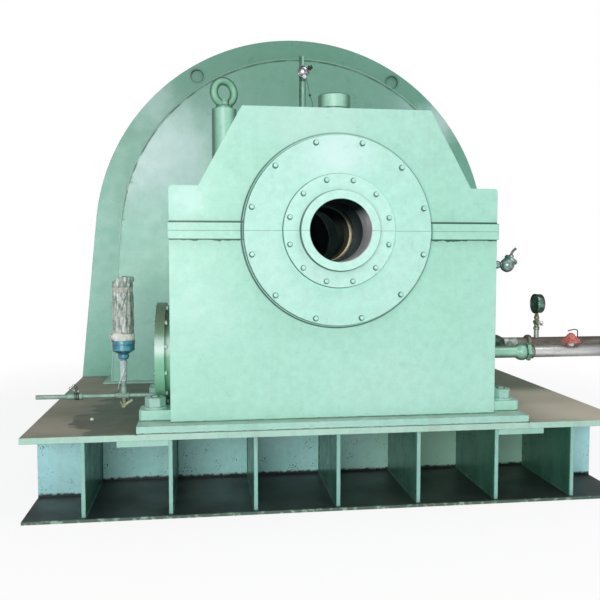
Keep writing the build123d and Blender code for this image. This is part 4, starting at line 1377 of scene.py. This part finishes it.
dial_x = gauge_place.x - 0.0292
to_dial = Matrix.Rotation(-pi / 2, 4, "Z")
needle_place = Matrix.Translation((dial_x - 0.0018, gauge_place.y, gauge_place.z)) @ to_dial
assembled("pressure_gauge", [
    turned(gauge_case, 64, gauge_grey, gauge_place, to_left),
    turned(mm((44.9, 28.9), (44.9, 29.3), (0, 29.3)), 64, dial_reflection_green, gauge_place, to_left),
    (needle_mesh(0.034, 0.011, 0.0016), faded_red,
     needle_place @ Matrix.Rotation(radians(-140), 4, "Y")),
    turned(mm((4.5, 29), (4.5, 32.5), (0, 33)), 24, bright_cast, gauge_place, to_left),
    (lathed(mm((7, -75), (7, -45), (0, -45)), 24), brass,
     aimed((gauge_cock_x, gauge_place.y, gauge_place.z))),
    (lathed(mm((12, -66), (12, -56), (10, -54), (0, -54)), 6), brass,
     aimed((gauge_cock_x, gauge_place.y, gauge_place.z))),
    turned(dome, 64, gauge_glass, gauge_place, to_left),
], stands_for=["instruments"])


# %% Dial ticks and numbers
def bar_mesh(length, width):
    """A short printed bar that points outwards on the dial."""
    form = bmesh.new()
    bmesh.ops.create_cube(form, size=1.0)
    bmesh.ops.scale(form, verts=form.verts, vec=(length, 0.0003, width))
    return to_mesh(form)


dial_centre = (dial_x - 0.0003, gauge_place.y, gauge_place.z)
dial = {"Centre": dial_centre, "Facing": -pi / 2, "Finish": dial_print}
grow("dial_fine_ticks", ring_tree, bar_mesh(0.003, 0.0004), "cast_grey", Ring_Radius=0.041,
     Count=31, First_Angle=radians(225), Step_Angle=-radians(9), **dial)
grow("dial_main_ticks", ring_tree, bar_mesh(0.0058, 0.0009), "cast_grey", Ring_Radius=0.0396,
     Count=7, First_Angle=radians(225), Step_Angle=-radians(45), **dial)


def number_mesh(text, size):
    """A number printed flat, facing the front."""
    letters = bpy.data.curves.new("number", "FONT")
    letters.body = text
    letters.size = size
    letters.align_x = "CENTER"
    letters.align_y = "CENTER"
    letters.extrude = 0.00015
    letters.resolution_u = 3
    mesh = curve_mesh(letters)
    mesh.transform(Matrix.Rotation(pi / 2, 4, "X"))
    return mesh


numbers = []
for step in range(7):
    turn = radians(225 - 45 * step)
    spot = Matrix.Translation((0.0300 * cos(turn), 0, 0.0300 * sin(turn)))
    numbers.append((number_mesh(str(step), 0.01), dial_print,
                    Matrix.Translation(dial_centre) @ to_dial @ spot))
assembled("dial_numbers", numbers)

# %% [markdown]
# ## Cocks
# A small plug cock is a cast body with a tapered plug through it. The gauge sits on an olive brass
# one, and a pale one drains the oil line. Their handles are moving parts; the ring on the gauge
# cock's handle rides on that handle's own body, and the bodies get a bore for the handle's key.

# %% Cock bodies
def barrel(half, radius):
    """The cross barrel of a cock with the bore for its handle's key, mouth first."""
    return lathed([(0, 0.021), (0.0053, 0.021), (0.0053, 0), (radius, 0), (radius + 0.0014, 0.002),
                   (radius + 0.0014, 0.007), (radius - 0.0004, 0.01),
                   (radius - 0.0004, 2 * half - 0.008), (radius + 0.001, 2 * half - 0.005),
                   (radius, 2 * half), (0, 2 * half)], 36)


tee_place = Vector((-0.927, deck_front + 0.410, deck_z + 0.084))
drain_barrel = tee_place - Vector((0, 0.022, 0.042))
gauge_cock_low = Vector((gauge_cock_x, gauge_place.y, deck_z + 0.363))
gauge_barrel = gauge_cock_low + Vector((0, -0.020, 0.027))
to_back = (0, 1, 0)
drain_body = mm((0, -15), (6, -15), (6.6, -12), (6.6, -4), (10.4, 4), (10.4, 12), (8.2, 16),
                (8.2, 22), (11.2, 24), (11.2, 32), (0, 32))
assembled("drain_cock", [
    (barrel(0.022, 0.0098), cream_brass, aimed(drain_barrel, to_back)),
    turned(drain_body, 28, cream_brass, tee_place - Vector((0, 0, 0.042))),
    (tube([tee_place + Vector((-0.005, -0.018, -0.04)), tee_place + Vector((-0.012, -0.021, -0.03)),
           tee_place + Vector((-0.016, -0.021, -0.024))], 0.0062, 2), cream_brass, here),
], stands_for=["cock_bodies"])
gauge_body = mm((11.8, -52), (11.8, -10), (15, -10), (15, 2), (11.8, 4), (10.5, 12), (14, 19),
                (15, 27), (13.5, 35), (9.5, 41), (13.5, 46), (13.5, 53), (8, 56), (0, 56))
assembled("gauge_cock", [
    turned(gauge_body, 32, olive_brass, gauge_cock_low),
    turned(mm((12.2, -50), (12.2, -12), (0, -12)), 32, bare_pipe, gauge_cock_low),
    (barrel(0.02, 0.0098), olive_brass, aimed(gauge_barrel, to_back)),
], stands_for=["cock_bodies"])
assembled("gauge_cock_ring", [
    (round_ring(0.0115, 0.0024, 28, 10), tape_white,
     aimed(gauge_barrel + Vector((0.01, -0.008, -0.004)), (0.1, -1, 0.1))),
], body="gauge_handle")

# %% [markdown]
# ## Oil line
# A thin pipe comes out of the left cooler lid, passes a tee under the oiler and ends in the open.
# Each screwed fitting has its own profile: end rings on the coupling, sloped shoulders on the tee,
# pale sealing tape where it was screwed together. Binding wire is still twisted round the coupling.
# Noise vectors start from a random offset, so a seed is set before the wires are bent.

# %% Oil pipe, tee and coupling
oil_start = Vector((-side_x - 0.070, tee_place.y, tee_place.z))
oil_end_x = -1.316
oil_length = oil_start.x - oil_end_x
tee_half = 0.0235
coupling_start = Vector((-1.1115, tee_place.y, tee_place.z))
oil_run = [(0.01, 0), (0.01, oil_length - 0.001), (0.0094, oil_length), (0.0078, oil_length),
           (0.0074, oil_length - 0.004), (0.0074, oil_length - 0.06), (0, oil_length - 0.06)]
coupling = mm((9.5, -4), (12.2, -3), (12.2, 0), (16, 1), (16.3, 6), (16, 12), (14.2, 15),
              (13.8, 24), (13.8, 46), (14.6, 50), (15, 60), (14, 66), (9.5, 68))
tee_run = mm((9.5, 0), (17.2, 1), (17.6, 7), (15, 11), (15, 36), (17.2, 40), (17.6, 46), (9.5, 47))
branch = mm((15, 0), (15.8, 12), (17, 18), (16.5, 24), (14, 32), (12.8, 40), (12.8, 43), (10, 44))
sealing = mm((9.5, -1), (12.8, 0), (13.4, 5), (12.4, 12), (10.8, 16), (9.5, 17))
riser_top = 0.251 - 0.084
assembled("oil_pipes", [
    turned(oil_run, 32, oil_pipe_mint, oil_start, to_left),
    turned(coupling, 40, oil_pipe_mint, coupling_start, to_left),
    turned(tee_run, 40, oil_pipe_mint, tee_place + Vector((tee_half, 0, 0)), to_left),
    turned(branch, 40, oil_pipe_mint, tee_place),
    turned(sealing, 32, oil_pipe_mint, tee_place - Vector((tee_half, 0, 0)), to_left),
    turned([(0.0108, 0.038), (0.0108, riser_top), (0, riser_top)], 32, oil_pipe_mint, tee_place),
], stands_for=["oil_line"])


# %% Binding wire and its scraps
def twist(start, seed, length, lift):
    """A few twisted points that climb from a start, the same for the same seed."""
    points = []
    for k in range(7):
        drift = noise.noise_vector((seed, k * 0.9, 0.3))
        points.append(start + Vector((drift.x * length, drift.y * length * 0.5,
                                      lift * k / 6 + drift.z * 0.006)))
    return points


noise.seed_set(1)
knot = coupling_start + Vector((-0.020, -0.006, 0.014))
wires = (dark_rubber, grey_wire, dark_rubber, oil_pipe_mint, grey_wire)
tangle = []
for k, finish in enumerate(wires):
    points = twist(knot - Vector((0.006 * k, 0, 0)), 3.1 + k * 1.7, 0.030, 0.034 + 0.006 * (k % 3))
    tangle.append((tube(points, 0.0012), finish, here))
for turn in range(5):
    wrap = aimed(coupling_start + Vector((-0.016 - 0.0042 * turn, 0, 0)),
                 (1, 0.12 * (turn % 2), 0.06))
    tangle.append((round_ring(0.0152, 0.0012, 32, 8), grey_wire if turn % 2 else dark_rubber, wrap))
tangle.append(turned(mm((3, 0), (4, 3), (2.2, 7), (0, 8)), 7, white_cap,
                     knot + Vector((0.004, -0.012, 0.012)), (0.3, -0.8, 0.4)))
tangle.append(turned(mm((2.6, 0), (3.4, 3), (1.8, 6), (0, 7)), 7, white_cap,
                     knot + Vector((-0.012, -0.012, 0.018)), (-0.3, -0.8, 0.2)))
assembled("binding_wire", tangle)
blob = mm((8, 0), (8.2, 3), (6.2, 7.2), (3, 9.5), (0, 10))
assembled("paint_blob", [turned(blob, 24, white_cap, (-1.0535, -1.6362, deck_z))])

# %% [markdown]
# ## Oiler
# The oiler is a bottle upside down in a blue cup. A cotton rag is wound round its foot and a film
# bag is pulled over it, held by a band of packing tape. Rag and bag are open sheets: rows of
# points that go round the bottle, pushed in and out by noise, so they wrinkle like thin material.
# A Solidify modifier then gives them a real thickness.

# %% Oiler cup and bottle
def on_oiler(z):
    """The point on the oiler's axis at a height above the deck."""
    return Vector((tee_place.x, tee_place.y, deck_z + z))


def spoke(turn, radius, z=0.0):
    """The point at a turn and a radius round an upright axis."""
    return Vector((radius * cos(turn), radius * sin(turn), z))


cup = mm((12.5, 250), (20, 252), (21, 256), (24, 258), (25, 260), (25, 270), (23.6, 272),
         (23.6, 275), (26, 277.3), (31, 281), (47, 290.5), (50.8, 294.5), (51, 316), (50.2, 318),
         (50.2, 320), (52.4, 322), (53, 334), (51.8, 338.6), (47.8, 338.6), (46.5, 331), (0, 331))
assembled("oiler_cup", [
    turned(cup, 64, oiler_blue, on_oiler(0)),
], stands_for=["oiler_base"])
bottle = mm((41.5, 328), (41.5, 580), (38, 590), (0, 592))
assembled("oiler_glass", [
    turned(bottle, 48, film_inside, on_oiler(0)),
], stands_for=["oiler_bottle"])


# %% Rag, bag, band and tape tail
def woven(name, rows, finish, thickness, closed=True, stands_for=()):
    """A sheet through rows of points; each row goes once round when closed."""
    form = bmesh.new()
    grid = [[form.verts.new(point) for point in row] for row in rows]
    for low, high in zip(grid, grid[1:]):
        for k in range(len(low) - (0 if closed else 1)):
            after = (k + 1) % len(low)
            form.faces.new((low[k], low[after], high[after], high[k]))
    bmesh.ops.recalc_face_normals(form, faces=form.faces)
    mesh = to_mesh(form, 80)
    mesh.name = name
    mesh.materials.append(finish)
    obj = bpy.data.objects.new(name, mesh)
    if thickness:
        skin = obj.modifiers.new("thickness", "SOLIDIFY")
        skin.thickness = thickness
        skin.offset = 0
    print(name, len(mesh.polygons), "faces")
    return settle(obj, stands_for=stands_for)


def ridge(place):
    """Sharp creases: 1 on a fold, falling to 0 between folds."""
    return 1 - min(1, 3.2 * abs(noise.noise(place)))


def film_point(turn, height, shrink=1.0):
    """One point of the bag, at a share of its height, with creases that mostly run upwards."""
    creases = ridge(spoke(turn, 2.2, height * 1.6 + 3.0)) * 0.0042
    small = noise.noise(spoke(turn, 7, height * 9)) * 0.0022
    off_fold = abs((turn - 4.95) * 0.046 - (height - 0.62) * 0.09) / 0.008
    fold = 0.0065 * max(0, 1 - off_fold) * (0.3 < height < 0.9)
    waist = -0.0035 * max(0, 1 - abs(height - 0.79) / 0.035)
    radius = (0.0440 + creases + small + fold + waist) * shrink
    top = max(0, height - 0.80) / 0.20
    slant = 0.004 - 0.030 * top * max(0, -cos(turn)) ** 2
    lift = 0.005 * noise.noise(spoke(turn, 3, 5.0)) * top
    if height > 0.93:
        radius += 0.0070 * max(0, cos(turn)) ** 6 * shrink
    return on_oiler(0.366 + 0.256 * height + slant + lift) + spoke(turn, radius)


turns = [tau * k / 96 for k in range(96)]
film_rows = [[film_point(turn, row / 44) for turn in turns] for row in range(45)]
for shrink in (0.93, 0.8, 0.62, 0.42, 0.22, 0.06):
    film_rows.append([])
    for k, turn in enumerate(turns):
        bump = 0.010 * (1 - shrink) * noise.noise((k * 0.09, shrink * 6, 2.0))
        film_rows[-1].append(film_point(turn, 1.0, shrink) + Vector((0, 0, bump)))
film_bag = woven("film_bag", film_rows, crumpled_film, 0.0005)
band_rows = [[film_point(turn, 0.735 + 0.085 * row / 4) + spoke(turn, 0.0011) for turn in turns]
             for row in range(5)]
tape_band = woven("tape_band", band_rows, tape_brown, 0.0004)

rag_turns, rag_steps, rag_across = 2.4, 150, 8


def rag_point(along, across):
    """One point of the wound rag: along it from 0 to 1, and across its width from 0 to 1."""
    turn = tau * (rag_turns * along + 0.08)
    tail = max(0, along - 0.955) / 0.045
    puff = 0.0046 * sin(pi * across) * (1.25 - 0.5 * cos(turn))
    puff += 0.0034 * noise.noise(spoke(turn, 5, across * 3 + along * 2))
    droop = 0.009 * noise.noise((along * 11, across * 1.5, 7.0))
    radius = 0.0437 + 0.0022 * rag_turns * along + puff + 0.006 * tail
    return on_oiler(0.339 + 0.034 * across + droop) + spoke(turn, radius)


rag_rows = [[rag_point(step / rag_steps, strand / rag_across) for strand in range(rag_across + 1)]
            for step in range(rag_steps + 1)]
rag = woven("cotton_rag", rag_rows, rag_grey, 0.0012, closed=False,
            stands_for=["oiler_collar"])


def ribbon(points, width, lean):
    """Rows of points for a narrow strip along a line, wider towards the camera's left and right."""
    rows = []
    for k, point in enumerate(points):
        swing = Vector((cos(lean * k), 0.35 * sin(lean * k * 2), 0.10 * sin(lean * k))) * width / 2
        rows.append([Vector(point) - swing, Vector(point) + swing * 0.1 + Vector((0, -0.0012, 0)),
                     Vector(point) + swing])
    return rows


tail_steps = mm((4, 130), (2, 112), (-3, 94), (-10, 78), (-17, 62), (-22, 46), (-25, 30))
tail_line = [tee_place + Vector((x, -0.017, z)) for x, z in tail_steps]
tape_tail = woven("tape_tail", ribbon(tail_line, 0.011, 0.25), tape_white, 0.0006,
                  closed=False)
wrap_rows = [[on_oiler(0.150 + 0.096 * row / 29)
              + spoke(turn, 0.0146 + 0.0022 * noise.noise(spoke(turn, 1.6, row * 0.35)))
              for turn in (tau * k / 40 for k in range(40))] for row in range(30)]
riser_wrap = woven("riser_wrap", wrap_rows, wrap_film, 0.0005)

# %% [markdown]
# ## Water pipes
# Two cooling water pipes leave the right lid. The front one is painted up to its union and bare
# after it, and the rear one has a conical nut and a sleeve. Both are spun along the pipe from one
# outline that ends in the open bore, so a neighbour's pipe could be joined there.


# %% Pipes and their fittings
def pipe_end(length, radius, bore):
    """The last points of a pipe's outline: its cut end and a bore that goes on inside."""
    return [(radius, length - 0.001), (radius - 0.0006, length), (bore + 0.0005, length),
            (bore, length - 0.0008), (bore, length - 0.2), (0, length - 0.2)]


pipe_radius, pipe_bore = 0.0285, 0.0250
pipe_start = lid_faces["right"] - 0.0006
pipe_end_x = 1.450
pipe_length = pipe_end_x - pipe_start
front_pipe = Vector((pipe_start, deck_front + 0.345, deck_z + 0.262))
rear_pipe = Vector((pipe_start, gauge_place.y, deck_z + 0.286))


def out_to(x):
    """How far along the pipe a place lies."""
    return x - pipe_start


def along_pipe(outline, count, finish, pipe, turn=0.0):
    """A turned part whose outline gives radius and place across the machine."""
    return turned([(radius, out_to(x)) for radius, x in outline], count, finish, pipe, to_right,
                  turn)


bulge = [(pipe_radius, pipe_start), (pipe_radius, 0.92), (0.0305, 0.926), (0.035, 0.932),
         (0.0395, 0.941), (0.0415, 0.95), (0.0415, 0.96), (0.04, 0.967), (0.036, 0.971),
         (0.029, 0.972)]
groove = mm((29, 968), (34.5, 969), (34.5, 978), (29, 979))
union_nut = mm((29, 974), (40.5, 975), (45, 979), (45, 991), (40.5, 995), (29, 996))
collar_ring = mm((28, 992), (34, 994), (34.5, 998), (34, 1008), (31, 1012), (28, 1013))
bare_length = pipe_end(pipe_length, pipe_radius, pipe_bore)
vent_foot = Vector((1.207, front_pipe.y, front_pipe.z + pipe_radius))
assembled("front_water_pipe", [
    along_pipe(bulge, 64, pipe_mint, front_pipe),
    along_pipe(groove, 64, dark_green, front_pipe),
    along_pipe(union_nut, 6, pipe_mint, front_pipe, radians(8)),
    along_pipe(collar_ring, 64, olive_brass, front_pipe),
    turned([(pipe_radius, out_to(1.0)), *bare_length], 64, bare_pipe, front_pipe, to_right),
    turned(mm((15, -6), (15, 12), (0, 12)), 32, tape_white, vent_foot),
], stands_for=["water_pipe_front"])
cone_nut = mm((28, 861), (40, 862), (43, 866), (43, 890), (40, 898), (30, 918), (28, 920))
thread = mm((28, 921), (29.6, 923), (29.1, 950), (29.6, 986), (28, 990))
sleeve = mm((28, 1040), (33, 1041), (39, 1044), (41.5, 1050), (41.5, 1058), (39, 1064), (33, 1067),
            (28, 1068))
assembled("rear_water_pipe", [
    turned([(pipe_radius, 0), *bare_length], 64, dull_pipe, rear_pipe, to_right),
    along_pipe(cone_nut, 64, dark_green, rear_pipe),
    along_pipe(thread, 48, crumpled_film, rear_pipe),
    along_pipe(sleeve, 64, dull_pipe, rear_pipe),
], stands_for=["water_pipe_rear"])

# %% [markdown]
# ## Vent cap
# A small faded cap covers a vent on the front pipe. Its steps have crumbled on one side, so after
# spinning it the points are moved by noise. A bent wire holds it down, and a scrap of sealing
# tape hangs from the thread.

# %% Vent cap and its wire
vent_place = vent_foot + Vector((0, 0, 0.012))
cap = lathed(mm((15, 0.3), (44, 0.3), (45.8, 3), (45, 8), (39.2, 11), (39.6, 15.5), (30, 22),
                (30.2, 26.5), (19, 34.5), (18.6, 38.5), (8, 46.5), (0, 47.5)), 40)
for point in cap.vertices:
    crumble = 1 + 0.09 * noise.noise(point.co * 70)
    if point.co.x < -0.006 and noise.noise(point.co * 160) > 0:
        crumble -= 0.08
    point.co.x *= crumble
    point.co.y *= crumble
cap.set_sharp_from_angle(angle=radians(25))
hook_line = [vent_place + Vector(step)
             for step in ((0.028, -0.006, 0.012), (0.03, -0.006, 0.036), (0.03, -0.006, 0.059),
                          (0.022, -0.006, 0.064), (0.004, -0.006, 0.064), (-0.02, -0.006, 0.057))]
assembled("vent_cap_form", [
    (cap, faded_red, Matrix.Translation(vent_place)),
    (tube(hook_line, 0.0026), dark_rubber, here),
], stands_for=["vent_cap"])

# %% [markdown]
# ## Floor, backdrop and light
# The picture is a cut-out on white. The floor is pale and keeps the machine's shadow, and the
# world shows plain white to the camera while it lights the object at a plain level. Two large
# soft lamps stand for the workshop's windows and ceiling lights.


# %% Stage
def pale_floor():
    """A white floor that keeps the shadow near the machine and is plain white further out."""
    made, tree, shader = new_material("pale floor", roughness=0.9)
    shader["Base Color"].default_value = (0.9, 0.9, 0.9, 1.0)
    from_machine = node(tree, "ShaderNodeVectorMath", {0: own_place(tree)}, operation="LENGTH",
                        output="Value")
    share = remap(from_machine, 1.6, 3.8, 0.86, 1.0)
    white = node(tree, "ShaderNodeEmission", {"Color": (1, 1, 1, 1), "Strength": 1.0})
    path = add(tree, "ShaderNodeLightPath").outputs
    seen = maths("MAXIMUM", maths("MAXIMUM", path["Is Camera Ray"], path["Is Glossy Ray"]),
                 path["Is Transmission Ray"])
    shaded = tree.nodes["Principled BSDF"].outputs[0]
    both = node(tree, "ShaderNodeMixShader", {0: seen * share, 1: shaded, 2: white})
    link(both, tree.nodes["Material Output"].inputs["Surface"])
    return made


def white_world():
    """White to the camera, and a soft grey sky to everything else."""
    world = bpy.data.worlds.new("workshop air")
    world.use_nodes = True
    tree = world.node_tree
    sky = tree.nodes["Background"]
    sky.inputs[0].default_value = (0.96, 1.0, 1.0, 1.0)
    sky.inputs[1].default_value = sky_strength
    white = node(tree, "ShaderNodeBackground", {0: (1, 1, 1, 1), 1: 1.0})
    path = add(tree, "ShaderNodeLightPath").outputs
    seen = maths("MAXIMUM", path["Is Camera Ray"], path["Is Transmission Ray"])
    both = node(tree, "ShaderNodeMixShader", {0: seen, 1: sky.outputs[0], 2: white})
    link(both, tree.nodes["World Output"].inputs["Surface"])
    return world


def soft_lamp(name, place, aim, size, power):
    """A square lamp of that size that points at a place."""
    lamp = bpy.data.objects.new(name, bpy.data.lights.new(name, "AREA"))
    lamp.data.energy = power
    lamp.data.size = size
    bpy.context.scene.collection.objects.link(lamp)
    lamp.location = place
    lamp.rotation_euler = (Vector(aim) - Vector(place)).to_track_quat("-Z", "Y").to_euler()
    return lamp


sky_strength = 0.38
floor_half = 30
floor_mesh = bpy.data.meshes.new("floor")
corners = [(-floor_half, -floor_half, 0), (floor_half, -floor_half, 0), (floor_half, floor_half, 0),
           (-floor_half, floor_half, 0)]
floor_mesh.from_pydata([(x, y, -0.001) for x, y, z in corners], [], [(0, 1, 2, 3)])
floor_mesh.materials.append(pale_floor())
floor = bpy.data.objects.new("floor", floor_mesh)
bpy.context.scene.collection.objects.link(floor)
scene_aim = (0, -1.2, 1.0)
soft_lamp("window_light", (-2.2, -9.0, 1.7), scene_aim, 4.0, 260)
soft_lamp("ceiling_light", (2.5, -4.0, 6.5), scene_aim, 4.0, 120)
bpy.context.scene.world = white_world()
bpy.context.scene.view_settings.view_transform = "Standard"
print("floor, sky and two lamps")

# %% Finish
print("scene ready")
